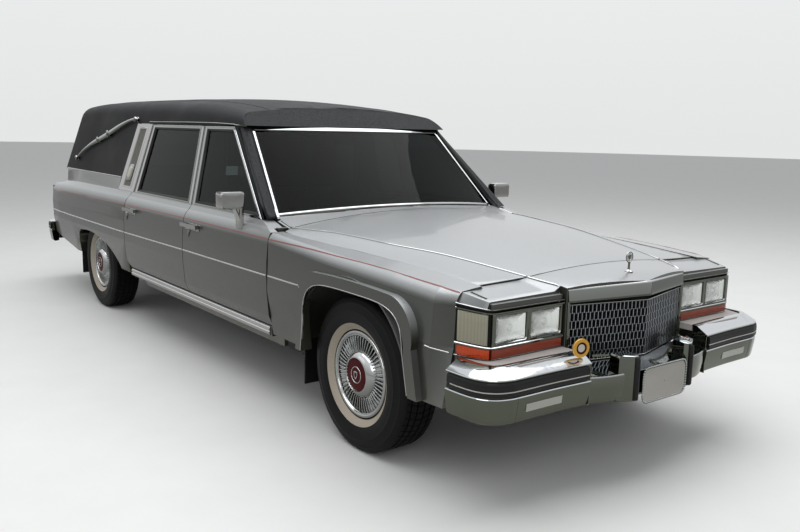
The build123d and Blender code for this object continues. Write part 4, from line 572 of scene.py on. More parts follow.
# wheels: treaded whitewall tyres and finned covers
wheel = {
    "x": {"front": 1.995, "rear": -1.675}, "y": 0.783, "z": 0.362,
    "fins": 52, "finInner": 0.1105, "finOuter": 0.1775, "finWidth": 0.56,
    "treadBlocks": 64, "radius": 0.362, "treadSlant": 0.35, "sipeDepth": 0.0055,
    # radius, distance out from the wheel's middle
    "sidewall": mm(
        (192.5, 50), (196.5, 64), (203, 73.5), (208.5, 80), (208.7, 81.2), (218, 89.5), (229, 97.2), (239.5, 103.2),
        (240.2, 102.2), (252, 107), (265, 110), (279, 111.5), (294, 111.2), (297, 111.9), (300, 110.7), (316, 106.8),
        (331, 101.5), (334, 101.8), (337, 99.5), (348, 94.5), (355.5, 89.2), (359.8, 82.5)),
    "whitewall": (4, 7),
    "ribs": mm((81.5, 59), (51, 23.5), (15.5, -15.5), (-23.5, -51), (-59, -81.5)),
    "grooveDepth": 0.0075, "grooveTaper": 0.0008,
    "cover": mm(
        (186, 50), (203.5, 64), (204.8, 69), (205, 74.5), (203.8, 80), (200.5, 84.2), (195.5, 86.2), (190.5, 85.8),
        (186.8, 83.5), (184.8, 80), (183.2, 79.5), (181.5, 80), (179.5, 77.5), (178.5, 69), (170, 65.5), (140, 64),
        (115, 68), (110.5, 76), (108.5, 80), (105, 85), (96, 93), (86, 99.2), (81.2, 101.3), (79, 101.5),
        (77.8, 99.5), (77.2, 95.5)),
    "hub": mm((77.2, 95.5), (73.5, 96.2), (60, 98.5), (30, 100.3), (0.1, 100.8)),
    "rim": mm(
        (60, -30), (60, -5), (85, 10), (118, 30), (150, 26), (169, 15), (170, -12), (178, -30), (184, -52),
        (198.5, -59), (201, -56.5), (194, -50), (191.5, -42), (186, -30), (180, -5), (180, 20), (188, 42),
        (190.5, 60)),
    "drum": mm((24, -74.5), (60, -74.5), (62, -56), (138, -52), (142, -48), (142, 0), (138, 6), (60, 8)),
    # share of the fin's length, height of its edge and of its ridge
    "finSections": ((0.0, 0.074, 0.0775), (0.12, 0.067, 0.0805), (0.5, 0.064, 0.08), (0.88, 0.065, 0.0795),
                    (1.0, 0.069, 0.0775)),
    "ring": mm(37.5, 99.8, 2.4),
    "shield": mm((-14, 16), (0, 19), (14, 16), (14, 0), (9, -13), (0, -21), (-9, -13), (-14, 0)),
}


def makeTyre(name, centre, side, body):
    radius, ribs = wheel["radius"], wheel["ribs"]
    profile = [(r, y, False) for r, y in wheel["sidewall"]]
    for i, (a, b) in enumerate(ribs):
        crown = radius - 0.0012 * (abs(a + b) / 0.14) ** 2
        profile += [(crown, a, True), (crown, b, True)]
        if i + 1 < len(ribs):
            floor, taper = radius - wheel["grooveDepth"], wheel["grooveTaper"]
            profile += [(floor, b - taper, False), (floor, ribs[i + 1][0] + taper, False)]
    profile += [(r, -y, False) for r, y in reversed(wheel["sidewall"])]
    marks = [1 if k in range(*wheel["whitewall"]) else 0 for k in range(len(profile))]
    rows = []
    blocks = wheel["treadBlocks"]
    for block in range(blocks):
        # each block starts with a sipe cut across the ribs
        for share, dip in ((0.0, 0), (0.01, 1), (0.13, 1), (0.14, 0), (0.57, 0)):
            row = []
            for r, y, isTread in profile:
                turn = 2 * math.pi * (block + share) / blocks
                if isTread:
                    turn += wheel["treadSlant"] * y / radius * (1 if y > 0 else -1)
                    r -= wheel["sipeDepth"] * dip
                row.append(Vector(centre) + Vector((r * math.cos(turn), side * y, r * math.sin(turn))))
            rows.append(row)
    shape = Shape()
    shape.grid(rows, closeAlong=True, marks=marks)
    shape.build(name, ("tyre", "whitewall"), body, replaces=(name,), angle=32)


def makeCover(name, node, centre, side, body):
    shape = Shape()
    for part, segments, mark in (("cover", 128, 0), ("hub", 96, 1), ("rim", 96, 2), ("drum", 72, 2)):
        shape.lathe(wheel[part], centre, segments, mark, side)
    inner, outer = wheel["finInner"], wheel["finOuter"]
    for c, s in circle(wheel["fins"]):
        rows = []
        for t, base, top in wheel["finSections"]:
            r = inner + (outer - inner) * t
            half = math.pi * r / wheel["fins"] * wheel["finWidth"]
            rows.append([Vector(centre) + Vector((r * c - w * s, side * y, r * s + w * c)) for w, y in (
                (-half, base), (-0.5 * half, top - 0.001), (0, top), (0.5 * half, top - 0.001), (half, base))])
        shape.grid(rows)
    # thin ring and plain shield on the hub
    radius, out, wire = wheel["ring"]
    turns = [math.pi * k / 8 for k in range(9)]
    shape.lathe([(radius + wire * math.cos(a), out + wire * math.sin(a)) for a in turns], centre, 64, 3, side)
    for grow, out, lift, mark in ((1.0, 0.099, 0.0045, 3), (0.6, 0.103, 0.0012, 1)):
        outline = [Vector(centre) + Vector((grow * x, side * out, grow * z)) for x, z in wheel["shield"]]
        shape.prism(outline, (0, side * lift, 0), mark)
    shape.build(name, ("wheel_cover", "hub_red", "iron", "bright_trim"), body, replaces=(node,), angle=28)


for end, alongCar in wheel["x"].items():
    for side, hand in hands:
        centre, corner = (alongCar, side * wheel["y"], wheel["z"]), end + "_" + hand
        makeTyre("tyre_" + corner, centre, side, end + "_wheel_" + hand)
        makeCover("wheelCover_" + corner, "wheel_" + corner, centre, side, end + "_wheel_" + hand)
print("wheels ready")

# front end: grille, lamps and their frames
nose = {
    "halfWidth": 0.392, "cornerX": 2.7985, "pointX": 2.9005,
    # heights at the corner and at the point
    "shellTop": mm(846, 859), "shellLow": mm(790, 798),
    "meshTop": 0.7765, "meshLow": 0.5425,
    "pitch": 0.0194, "bar": 0.004, "rows": 7, "depth": 0.012, "sink": 0.0035,
    "shellHalf": 0.3965, "meshHalf": 0.38,
    # section of the head: distance out, height over its top or its foot
    "head": mm((-30, 3.5), (-8, 3), (-1, 1.2), (2.2, -2), (3.5, -6)),
    "headFoot": mm((8.5, 10), (9.5, 5), (9, 1.5), (7, 0), (-20, 0)),
    # posts at the corners, right-hand one: low and high end
    "posts": mm(((2770, 386.5, 537.5), (2803.5, 397.5, 792)), ((2786, 381.5, 542.5), (2801.5, 385.5, 776.5))),
    # bands on both faces: half width, from, to, distance out, depth
    "bands": mm((385, 776.5, 781.5, 1, 12), (385, 536.5, 542.5, 2, 12)),
    "back": mm(388.5, 530, 836, -34, 4),
}


def noseX(y):
    return nose["cornerX"] + (nose["pointX"] - nose["cornerX"]) * (1 - abs(y) / nose["halfWidth"])


def noseBand(shape, half, low, high, out, depth):
    # flat band on both faces of the point
    for y0, y1 in ((-half, 0), (0, half)):
        ring = [(noseX(y) + out, y, z) for y, z in ((y0, low), (y1, low), (y1, high), (y0, high))]
        shape.prism(ring, (-depth, 0, 0))


def makeGrille():
    shell, mesh, back = Shape(), Shape(), Shape()
    rows = []
    for i in range(-20, 21):
        y = nose["shellHalf"] * i / 20
        share = max(0.0, 1 - abs(y) / nose["halfWidth"])
        top, foot = (low + (high - low) * share for low, high in (nose["shellTop"], nose["shellLow"]))
        rows.append([(noseX(y) + dx, y, top + dz) for dx, dz in nose["head"]]
                    + [(noseX(y) + dx, y, foot + dz) for dx, dz in nose["headFoot"]])
    shell.tube(rows, caps=True)
    for side in (1, -1):
        for low, high in nose["posts"]:
            shell.box((low[0], side * low[1], low[2]), (high[0], side * high[1], high[2]))
    for band in nose["bands"]:
        noseBand(shell, *band)
    shell.build("grilleShell", ("bright",), replaces=("grille",), bevel=0.0012)
    # small upright cells, each row half a pitch beside the one below
    height = (nose["meshTop"] - nose["meshLow"]) / nose["rows"]
    count = int(0.384 / nose["pitch"])
    for row in range(nose["rows"]):
        low = nose["meshLow"] + row * height
        for k in range(-count - 1, count + 2):
            y = (k + 0.5 * (row % 2)) * nose["pitch"]
            if abs(y) <= nose["meshHalf"]:
                x = noseX(y) - nose["sink"]
                mesh.box((x - nose["depth"], y - nose["bar"] / 2, low), (x, y + nose["bar"] / 2, low + height))
        if row:
            noseBand(mesh, 0.383, low - 0.0008, low + 0.0008, -0.0065, 0.01)
    mesh.build("grilleMesh", ("grille_bar",), angle=20)
    noseBand(back, *nose["back"])
    back.build("grilleBack", ("gap_black",))


makeGrille()

lamps = {
    # openings and frames of the inner and outer lamp: y from, y to
    "openings": mm((423.5, 594.5), (619, 786)), "openingZ": mm(672, 777),
    "frames": mm((410, 606.5), (606.5, 803.5)), "frameZ": mm(661.5, 788),
    "faceX": 2.789, "corner": 0.0075, "bulb": 0.058, "endCap": mm((2760, 803.5, 660), (2789, 806, 790)),
    # share of the opening, distance out of the face
    "glass": ((1.0, -0.0105), (0.985, -0.0075), (0.94, -0.006), (0.75, -0.0046), (0.5, -0.0038), (0.25, -0.0034),
              (0.01, -0.0033)),
    "dish": ((1.0, -0.0115), (0.95, -0.0135), (0.85, -0.0158), (0.72, -0.0174), (0.55, -0.0184), (0.35, -0.019),
             (0.24, -0.0191), (0.2, -0.017), (0.01, -0.0165)),
    # plan line of the front corner, seen from above: front, corner, side
    "plan": mm(
        (2790.5, 410), (2790.5, 600), (2790, 770), (2788, 797), (2780, 815), (2766, 827), (2730, 847.5), (2695, 864),
        (2658, 880)),
    # sections swept along the plan line: distance out, height at the front, height at the side's end
    "strips": (
        # bright plate between the frames and the lip, and a raised strip over it
        ((-0.012, 0.7885, 0.8), (0.0005, 0.7885, 0.8), (0.0035, 0.79, 0.8015), (0.0035, 0.7945, 0.806),
         (0.0005, 0.796, 0.8075), (-0.012, 0.796, 0.8075)),
        ((-0.012, 0.803, 0.818), (0.0, 0.803, 0.818), (0.0028, 0.8042, 0.8192), (0.0028, 0.8072, 0.8222),
         (0.0, 0.8085, 0.8235), (-0.012, 0.8085, 0.8235)),
        # above and below the amber lamp
        ((-0.012, 0.6515, 0.66), (0.0015, 0.6515, 0.66), (0.005, 0.653, 0.6615), (0.005, 0.6585, 0.667),
         (0.0015, 0.6612, 0.67), (-0.012, 0.6612, 0.67)),
        ((-0.012, 0.6085, 0.613), (0.0015, 0.6085, 0.613), (0.003, 0.6095, 0.614), (0.003, 0.6125, 0.6175),
         (0.0015, 0.6135, 0.6185), (-0.012, 0.6135, 0.6185)),
    ),
    "surround": mm((-16, 658, 665), (-3.5, 658, 665), (-3.5, 804, 819), (-16, 804, 819)),
    "cornerLens": mm(
        (-4, 665, 674), (0, 665.5, 674.5), (2.4, 672, 681), (3.4, 725, 736), (2.6, 779, 790), (0, 785, 796),
        (-4, 785.5, 796.5)),
    "amberEdge": mm(
        ((-10, 614.2, 619.5), (0, 614.2, 619.5), (1.8, 616.5, 621.5)),
        ((1.8, 649, 657.5), (0, 651.2, 659.8), (-10, 651.2, 659.8))),
    "amberSide": mm(2.4, 632.5, 639), "amberFront": mm(2.2, 632.5, 639),
}


def cornerSweep(shape, section, start=0.0, stop=1.0, ribs=0.0, step=0.004):
    line = [Vector((x, y, 0)) for x, y in lamps["plan"]]
    flat = runLine(line[:3], step)[:-1] + runLine(smoothLine(line[2:], 6), step)

    def place(p, out, i):
        climb = min(1.0, max(0.0, (2.785 - p.x) / 0.127))
        return [(p.x + out.x * (d + ribs * (i % 2)), p.y + out.y * (d + ribs * (i % 2)), z0 + (z1 - z0) * climb)
                for d, z0, z1 in section]
    shape.tube(planRows(flat, place, start, stop), caps=True)


def makeHeadLamp(frames, lens, bowl, opening, frameSpan):
    x, corner, (z0, z1), (g0, g1) = lamps["faceX"], lamps["corner"], lamps["openingZ"], lamps["frameZ"]
    (y0, y1), (f0, f1) = opening, frameSpan
    outer = roundedRect(f0, f1, g0, g1, 0.0015)
    rim = roundedRect(y0 - 0.003, y1 + 0.003, z0 - 0.003, z1 + 0.003, 0.009)
    hole = roundedRect(y0, y1, z0, z1, corner)
    fy, fz = 0.03 * (f0 + f1) / 2, 0.03 * (g0 + g1) / 2
    frames.tube([[(x - 0.02, y, z) for y, z in outer], [(x - 0.001, y, z) for y, z in outer],
                 [(x + 0.0005, 0.97 * y + fy, 0.97 * z + fz) for y, z in outer],
                 [(x + 0.0008, y, z) for y, z in rim], [(x - 0.0035, y, z) for y, z in hole],
                 [(x - 0.0195, y, z) for y, z in hole]])
    edge = [(p.y, p.z) for p in runLine([(0, *q) for q in hole] + [(0, y1, z1 - corner)], 0.012)][:-1]
    edge += edge[:1]
    cy, cz = (y0 + y1) / 2, (z0 + z1) / 2
    lens.tube([[(x + out, cy + scale * (y - cy), cz + scale * (z - cz)) for y, z in edge]
               for scale, out in lamps["glass"]])
    dish = []
    for scale, out in lamps["dish"]:
        # the reflector turns from the opening's form to a round one
        turned = min(1.0, max(0.0, (1.0 - scale) / 0.35))
        row = []
        for y, z in edge:
            a = math.atan2(z - cz, y - cy)
            dy, dz = lamps["bulb"] * math.cos(a), lamps["bulb"] * math.sin(a)
            row.append((x + out, cy + scale * ((y - cy) * (1 - turned) + dy * turned),
                        cz + scale * ((z - cz) * (1 - turned) + dz * turned)))
        dish.append(row)
    bowl.tube(dish)


def makeLamps():
    frames, lens, bowl, backing, cornerLens, amberSide, amberFront = (Shape() for k in range(7))
    for opening, frameSpan in zip(lamps["openings"], lamps["frames"]):
        makeHeadLamp(frames, lens, bowl, opening, frameSpan)
    for section in lamps["strips"]:
        cornerSweep(frames, section)
    # upright end of the corner lamp
    frames.box(*lamps["endCap"])
    cornerSweep(backing, lamps["surround"], start=0.715)
    cornerSweep(cornerLens, lamps["cornerLens"], start=0.755, stop=0.985)
    low, high = lamps["amberEdge"]
    cornerSweep(amberSide, (*low, lamps["amberSide"], *high), start=0.735, stop=0.985, ribs=0.0004, step=0.0025)
    cornerSweep(amberFront, (*low, lamps["amberFront"], *high), start=0.01, stop=0.725)
    for shape, name, slotName, replaced, angle in (
            (frames, "lampFrames", "bright", "lamp_bezels", 30),
            (lens, "headLampLenses", "lamp_glass", "headlamps", 40),
            (bowl, "headLampReflectors", "lamp_bowl", "", 38), (backing, "lampSurround", "gap_black", "", 38),
            (cornerLens, "corneringLamps", "corner_lens", "headlamps", 60),
            (amberSide, "frontTurnLamps", "amber_lens", "turn_lamps", 60),
            (amberFront, "frontMarkerLamps", "amber_dark", "turn_lamps", 60)):
        shape.bothSides().build(name, (slotName,), replaces=(replaced,) if replaced else (), angle=angle)


makeLamps()

ornament = {
    "x": 2.79, "ring": 0.0225, "wire": 0.0022, "innerRing": 0.015, "innerWire": 0.0012,
    # radius, height over the header
    "stem": mm((0.1, -2), (15, -2), (15, 2), (11, 5), (5.5, 9), (4, 20), (3.4, 34), (5, 38), (5, 41), (0.1, 43)),
    "shield": mm((-8.5, 8), (0, 10.5), (8.5, 8), (8.5, -1), (5, -8), (0, -12), (-5, -8), (-8.5, -1)),
}


def makeOrnament():
    shape, x, ring = Shape(), ornament["x"], ornament["ring"]
    foot, up = castOn(("header_panel",), (x, 0, 2), (0, 0, -1))
    shape.grid([[(x + 1.3 * r * c, r * s, foot.z + z) for r, z in ornament["stem"]] for c, s in circle(24)],
               closeAlong=True)
    middle = foot.z + 0.041 + ring
    for big, wire in ((ring, ornament["wire"]), (ornament["innerRing"], ornament["innerWire"])):
        shape.grid([[(x + wire * sb, (big + wire * cb) * c, middle + (big + wire * cb) * s) for cb, sb in circle(10)]
                    for c, s in circle(48)], closeRow=True, closeAlong=True)
    shape.prism([(x - 0.002, y, middle + z) for y, z in ornament["shield"]], (0.004, 0, 0))
    shape.box((x - 0.0012, -0.0012, middle - ring), (x + 0.0012, 0.0012, middle + ring))
    shape.build("hoodOrnament", ("bright",), angle=30)


makeOrnament()

# bright strips along the hood: nodes under each part and its line, as (along the car, across)
hoodStrips = {
    "cowl": ("body_shell", "root", ((1.165, 0.803), (1.276, 0.806))),
    "hood": ("hood", "hood", ((1.2845, 0.8062), (1.45, 0.76), (1.59, 0.715), (1.93, 0.65), (2.2, 0.565),
                              (2.468, 0.499), (2.6205, 0.46))),
    "header": ("header_panel", "root", ((2.632, 0.4585), (2.7, 0.436), (2.785, 0.405))),
}

for part, (node, body, line) in hoodStrips.items():
    shape = Shape()
    smooth = [(p.x, p.y) for p in smoothLine([(x, y, 0) for x, y in line], 6)]
    shape.strip(*lineOnTop((node,), smooth), halfRound(0.011, 0.0055))
    shape.bothSides().build(part + "Strips", ("bright",), body, angle=50)

badge = {
    "place": mm(2915, -439, 634.5), "radius": 0.0385, "faces": (0.97, -0.24, 0),
    # stalk down to the bumper's shelf
    "stalk": mm((2911, -443, 585), (2913, -435, 610)),
    # share of the radius, distance out, colour
    "rings": ((0.0, 0.004, 2), (0.4, 0.004, 2), (0.42, 0.003, 1), (0.62, 0.003, 1), (0.64, 0.0045, 0),
              (0.97, 0.0045, 0), (1.0, 0.0025, 0), (1.0, -0.003, 0), (0.01, -0.003, 0)),
}


def makeBadge():
    shape, centre, out = Shape(), Vector(badge["place"]), Vector(badge["faces"]).normalized()
    across = Vector((-out.y, out.x, 0))
    shape.grid([[centre + out * depth + (across * c + Vector((0, 0, s))) * max(0.0002, share * badge["radius"])
                 for share, depth, mark in badge["rings"]] for c, s in circle(48)],
               closeAlong=True, marks=[mark for share, depth, mark in badge["rings"]])
    shape.box(*badge["stalk"], 3)
    shape.build("grilleBadge", ("badge_yellow", "hub_red", "badge_white", "bright_trim"), angle=30)


makeBadge()
print("front end ready")

# side trims: each follows the panel under it and rides with that panel
sideLines = {
    # along the car, height
    "pinstripe": mm(
        (2768, 831), (2713, 837), (2650, 851), (2585, 862), (2418, 874), (2225, 885), (2020, 891), (1801, 896),
        (1559, 902), (1225, 904), (167, 906), (-900, 899), (-2346, 879), (-2860, 864)),
    "moulding": mm((1620, 716), (1295, 715), (211, 709), (-953, 697), (-2637, 694), (-2800, 694)),
    "noseMoulding": mm((2640, 618), (2528, 630)),
    # how far out the pinstripe runs on the round shoulder of the fender
    "stripeReach": mm(
        (2768, 808), (2713, 826), (2650, 845), (2585, 864), (2418, 879), (2225, 884), (2020, 894), (1801, 908),
        (1640, 917)),
}
sideKinds = {
    # finish, section
    "pinstripe": ("pinstripe", flatStrip(0.0038, 0.0006, 0.0005)),
    "moulding": ("bright_trim", halfRound(0.01, 0.0045, 0.003)),
}
sidePanels = {
    # node stem, body stem, from, to
    "fender": ("front_fender", "root", 1.282, 2.646),
    "frontDoor": ("door_front", "front_door", 0.19, 1.267),
    "rearDoor": ("door_rear", "rear_door", -0.868, 0.18),
    "quarter": ("quarter", "root", -2.86, -0.878),
}


def heightAt(line, x):
    for (x0, z0), (x1, z1) in zip(line, line[1:]):
        if min(x0, x1) <= x <= max(x0, x1):
            return z0 + (z1 - z0) * (x - x0) / (x1 - x0)
    return None


def lineOnPanel(lineName, node, start, stop, side, step=0.03):
    points, ups = [], []
    count = max(2, int((stop - start) / step))
    for k in range(count + 1):
        x = start + (stop - start) * k / count
        z = heightAt(sideLines[lineName], x)
        if z is None:
            continue
        reach = heightAt(sideLines["stripeReach"], x) if lineName == "pinstripe" else None
        if reach:
            point, up = castOn((node,), (x, side * (reach + 0.3), z + 0.3), (0, -side, -1))
        else:
            point, up = castOn((node,), (x, side * 1.4, z), (0, -side, 0))
        if point is not None and abs(point.y) > 0.8:
            points.append(point)
            ups.append(up)
    return points, ups


def makeSideTrims(side, hand):
    for panel, (stem, body, start, stop) in sidePanels.items():
        for kind, (slotName, section) in sideKinds.items():
            points, ups = lineOnPanel(kind, stem + "_" + hand, start, stop, side)
            if len(points) > 2:
                shape = Shape()
                shape.strip(points, ups, section)
                shape.build(kind + "_" + panel + "_" + hand, (slotName,), onHand(body, hand), angle=50)
    shape = Shape()
    points, ups = lineOnPanel("noseMoulding", "front_fender_" + hand, 2.53, 2.636, side)
    shape.strip(points, ups, halfRound(0.006, 0.003, 0.003))
    shape.build("moulding_nose_" + hand, ("bright_trim",), angle=50)


def onHand(body, hand):
    return body if body == "root" else body + "_" + hand


for side, hand in hands:
    makeSideTrims(side, hand)

rocker = {
    "from": -1.03, "to": 1.24, "height": 0.411, "points": 60,
    "section": mm(
        (22.5, -4), (22.5, 4), (19, 8), (4, 9.5), (1, 6.5), (-3, 6.5), (-6, 9.5), (-19, 8), (-22.5, 4), (-22.5, -4)),
}


def makeRockers():
    shape, last = Shape(), rocker["points"] - 1
    starts = [(rocker["from"] + (rocker["to"] - rocker["from"]) * k / last, -1.4, rocker["height"])
              for k in range(last + 1)]
    points, ups = castLine(("body_shell",), starts, (0, 1, 0), keep=lambda p: p.y < -0.8)
    shape.strip(points, [Vector((0, -1, 0))] * len(points), rocker["section"])
    shape.bothSides().build("rockerMouldings", ("bright_trim",), angle=35)


makeRockers()

frontArch = mm(
    (1626, 405), (1636, 480), (1642, 540), (1652, 652), (1702, 722), (1812, 756), (2062, 762), (2292, 752),
    (2402, 692), (2436, 552), (2452, 480), (2468, 410))


def makeArchTrims():
    shape = Shape()
    points = smoothLine([(x, -0.96, z) for x, z in frontArch], 6)
    shape.strip(points, [Vector((0, -1, 0))] * len(points), halfRound(0.005, 0.0022, 0.01))
    shape.bothSides().build("frontArchTrims", ("bright_trim",), angle=50)


makeArchTrims()

handles = {
    # door: middle along the car, height, lock along the car, lock height
    "front": (0.325, 0.876, 0.278, 0.832),
    "rear": (-0.745, 0.874, -0.813, 0.826),
}
handleForm = {
    "halfLength": 0.108, "below": 0.031, "above": 0.01,
    # share of the outline, distance out of the door
    "plateSteps": ((1.0, -0.002), (1.0, 0.0015), (0.96, 0.0025), (0.9, 0.001), (0.01, -0.0005)),
    "lockSteps": ((1.0, -0.003), (1.0, 0.0022), (0.88, 0.0042), (0.55, 0.0048), (0.01, 0.0052)),
    "lock": mm((-17, 26), (17, 26), (19.5, 10), (14, -12), (6, -27), (0, -31), (-6, -27), (-14, -12), (-19.5, 10)),
}


def makeHandle(door, side, hand):
    shape, node = Shape(), "door_" + door + "_" + hand
    middle, height, lockX, lockZ = handles[door]

    def onDoor(x, z, lift):
        spot, up = castOn((node,), (x, side * 1.4, z), (0, -side, 0))
        return spot + Vector((0, side * lift, 0))
    # dished plate behind the pull, and a plain shield over the lock
    plate = roundedRect(middle - handleForm["halfLength"], middle + handleForm["halfLength"],
                        height - handleForm["below"], height + handleForm["above"], 0.01)
    zc = height - 0.01
    shape.tube([[onDoor(middle + grow * (x - middle), zc + grow * (z - zc), lift) for x, z in plate]
                for grow, lift in handleForm["plateSteps"]])
    rows = []
    for grow, lift in handleForm["lockSteps"]:
        rows.append([(lockX + grow * x, onDoor(lockX + x, lockZ + z, lift).y, lockZ + grow * z)
                     for x, z in handleForm["lock"]])
    shape.tube(rows)
    shape.build("handleTrim_" + door + "_" + hand, ("bright",), door + "_door_" + hand, angle=35)


for side, hand in hands:
    for door in handles:
        makeHandle(door, side, hand)

mirror = {
    "centre": mm(953, 994, 1079), "size": mm(66, 140, 94),
    # share of the half depth, share of the outline
    "steps": ((-0.94, 0.02), (-0.95, 0.9), (-0.98, 0.955), (-1.0, 0.985), (-0.92, 1.0), (0.55, 1.0), (0.8, 0.985),
              (0.93, 0.955), (0.985, 0.9), (1.0, 0.8), (1.01, 0.4), (1.015, 0.02)),
    # foot with a round boss on the door: place and radius of each ring
    "foot": mm(
        (948, 975, 1045, 14), (944, 960, 1015, 13), (938, 945, 985, 15), (930, 930, 955, 20), (926, 920, 935, 24)),
}


def makeMirror(side, hand):
    shape = Shape()
    cx, cy, cz = mirror["centre"]
    hx, hy, hz = (s / 2 for s in mirror["size"])
    shell = roundedRect(-hy, hy, -hz, hz, 0.016)
    shape.tube([[(cx + dx * hx, side * (cy + grow * y), cz + grow * z) for y, z in shell]
                for dx, grow in mirror["steps"]])
    shape.tube([[(x + 1.35 * r * c, side * (y + r * 0.8 * s), z) for c, s in circle(20)]
                for x, y, z, r in mirror["foot"]], caps=True)
    shape.build("mirrorShell_" + hand, ("bright_trim",), "front_door_" + hand, angle=40)


for side, hand in hands:
    makeMirror(side, hand)
print("sides ready")

# bumpers: chrome with a stepped face, black rubber with a pale line, upright guards and blank plates
bumperFoot = mm(
    (0, 575.5), (2, 572.5), (1, 569), (-3, 567), (-3, 505), (2, 503.5), (5, 500), (4.5, 490), (-6, 415), (-10, 403),
    (-18, 397), (-30, 396), (-56, 400))
bumpers = {
    # plan of the face, middle to end
    "front": mm(
        (2944, 404), (2933, 600), (2930, 790), (2926, 835), (2908, 885), (2870, 923), (2820, 940), (2760, 945.5),
        (2690, 946)),
    "centre": mm((2986, 0), (2986, 130), (2972, 298), (2934, 413)),
    "rear": mm(
        (3048, 0), (3048, 420), (3045, 800), (3040, 840), (3020, 888), (2983, 924), (2940, 940), (2890, 945.5),
        (2832, 946)),
    # sections: distance out from the plan line, height
    "frontFace": ((-0.076, 0.606), (-0.076, 0.6112), (-0.064, 0.6112), (-0.054, 0.6096), (-0.02, 0.588),
                  (-0.004, 0.5778), (0.0, 0.576), *bumperFoot[1:]),
    "rearFace": ((-0.06, 0.57), (-0.02, 0.5755), (-0.004, 0.5768), *bumperFoot),
    "centreFace": mm(
        (-60, 506), (-8, 512.5), (-2, 512.2), (0, 509.5), (0.5, 504), (1, 470), (-3, 415), (-8, 403), (-18, 396.5),
        (-56, 398)),
    "rubber": mm(
        (-4, 507.5), (3, 508), (6.8, 511), (7.8, 520), (7.8, 525), (6, 526.2), (6, 531.8), (7.8, 533), (7.6, 548),
        (6, 560), (3, 565.2), (-4, 565.5)),
    "line": mm((5, 526.6), (7.2, 527), (7.2, 531), (5, 531.4)),
    # pale band on the lower face: a painted reflection of the floor
    "patch": mm((-4, 438), (0.5, 438), (3.7, 469), (-1, 469)),
    # plate between the outer and centre parts, arm from a guard's head to the shelf, bracket to the frame rail
    "endPlate": mm((2880, 402, 398), (2942, 406.5, 575.5)),
    "arm": mm((2950, 176, 578), (2950, 220, 578), (2862, 300, 564), (2862, 256, 564)),
    "bracket": mm((2790, -24, 416), (2905, 24, 484)), "bracketAcross": 0.364,
}
shelf = {
    "half": 0.404, "noseHalf": 0.392, "gap": 0.0045,
    # front edge: bend across, place along the car, slant beyond the bend
    "outer": (0.298, 2.966, 0.33), "inner": (0.13, 2.978, 0.165),
    # share of the way from the grille to the edge, height
    "section": ((1, 0.5105), (0.62, 0.518), (0.25, 0.5285), (0, 0.5345), (0, 0.532), (1, 0.508)),
}
guard = {
    # along the car, across, top
    "front": (2.996, 0.188, 0.592), "rear": (3.05, 0.47, 0.582),
    "plan": mm((-70, -24), (-12, -24), (4, -13), (4, 13), (-4, 24), (-28, 72), (-70, 80)),
    "pad": mm((3, -11.5), (14, -10.5), (19, -6), (20.5, 0), (19, 6), (14, 10.5), (3, 11.5)),
    # rings from the foot, then from the top: height, shrink, and at the top how far the back is lifted
    "foot": ((0.392, 0.06, 0), (0.398, 0.0, 0)),
    "head": ((-0.018, 0.0, 0.006), (-0.01, 0.05, 0.008), (-0.008, 0.3, 0.008)),
    "padFoot": ((0.396, 0.25), (0.402, 0.0)), "padHead": ((-0.024, 0.0), (-0.016, 0.25)),
}
plate = {
    # half width, half height, corner
    "face": mm(145, 70, 30), "frame": mm(150, 75, 34), "bead": 0.0052, "pitch": 0.011,
    # share of the face, distance out
    "steps": ((1.0, -0.001), (1.0, 0.0018), (0.985, 0.003), (0.97, 0.0018), (0.955, 0.0014), (0.02, 0.0014)),
    # along the car, middle height
    "front": mm(3008.5, 450), "rear": mm(3060, 466),
}


def planSweep(shape, path, section, end=1, start=0.0, stop=1.0, step=0.012):
    flat = runLine(smoothLine([(x, y, 0) for x, y in bumpers[path]], 8), step)
    shape.tube(planRows(flat, lambda p, out, i: [(end * (p.x + out.x * d), p.y + out.y * d, z) for d, z in section],
                        start, stop), caps=True)


def makeGuard(chrome, rubber, key, away, end=1):
    x, y, top = guard[key]
    y *= away
    chrome.tube([[(end * (x + dx * (1 - shrink) - 0.01 * shrink), y + away * dy * (1 - shrink), z - lift * dx / 0.07)
                  for dx, dy in guard["plan"]]
                 for z, shrink, lift in (*guard["foot"], *((top + dz, s, lift) for dz, s, lift in guard["head"]))],
                caps=True)
    rubber.tube([[(end * (x + dx * (1 - shrink)), y + dy * (1 - shrink), z) for dx, dy in guard["pad"]]
                 for z, shrink in (*guard["padFoot"], *((top + dz, s) for dz, s in guard["padHead"]))], caps=True)


def makePlate(key, end):
    shape, bead, (x, z) = Shape(), plate["bead"], plate[key]

    def outline(wide, high, corner):
        return roundedRect(-wide, wide, z - high, z + high, corner)
    shape.tube([[(end * (x + depth), y * grow, z + (h - z) * (1 - (1 - grow) * (2 if grow > 0.5 else 1)))
                 for y, h in outline(*plate["face"])] for grow, depth in plate["steps"]])
    # frame of round beads
    wide, high, corner = plate["frame"]
    path = [(0, y, h) for y, h in outline(wide, high, corner)] + [(0, wide, z + high - corner)]
    for p in runLine(path, plate["pitch"]):
        shape.tube([[(end * (x + 0.002 + bead * math.cos(v)), p.y + bead * math.sin(v) * c,
                      p.z + bead * math.sin(v) * s) for c, s in circle(8)] for v in (0.05, 0.6, 1.2, 1.9)], 1)
    near, far = sorted((end * x, end * (x - 0.003)))
    shape.box((near, -0.14, z - 0.066), (far, 0.14, z + 0.066), 2)
    shape.build(key + "Plate", ("plate_white", "bright", "gap_black"), angle=35)


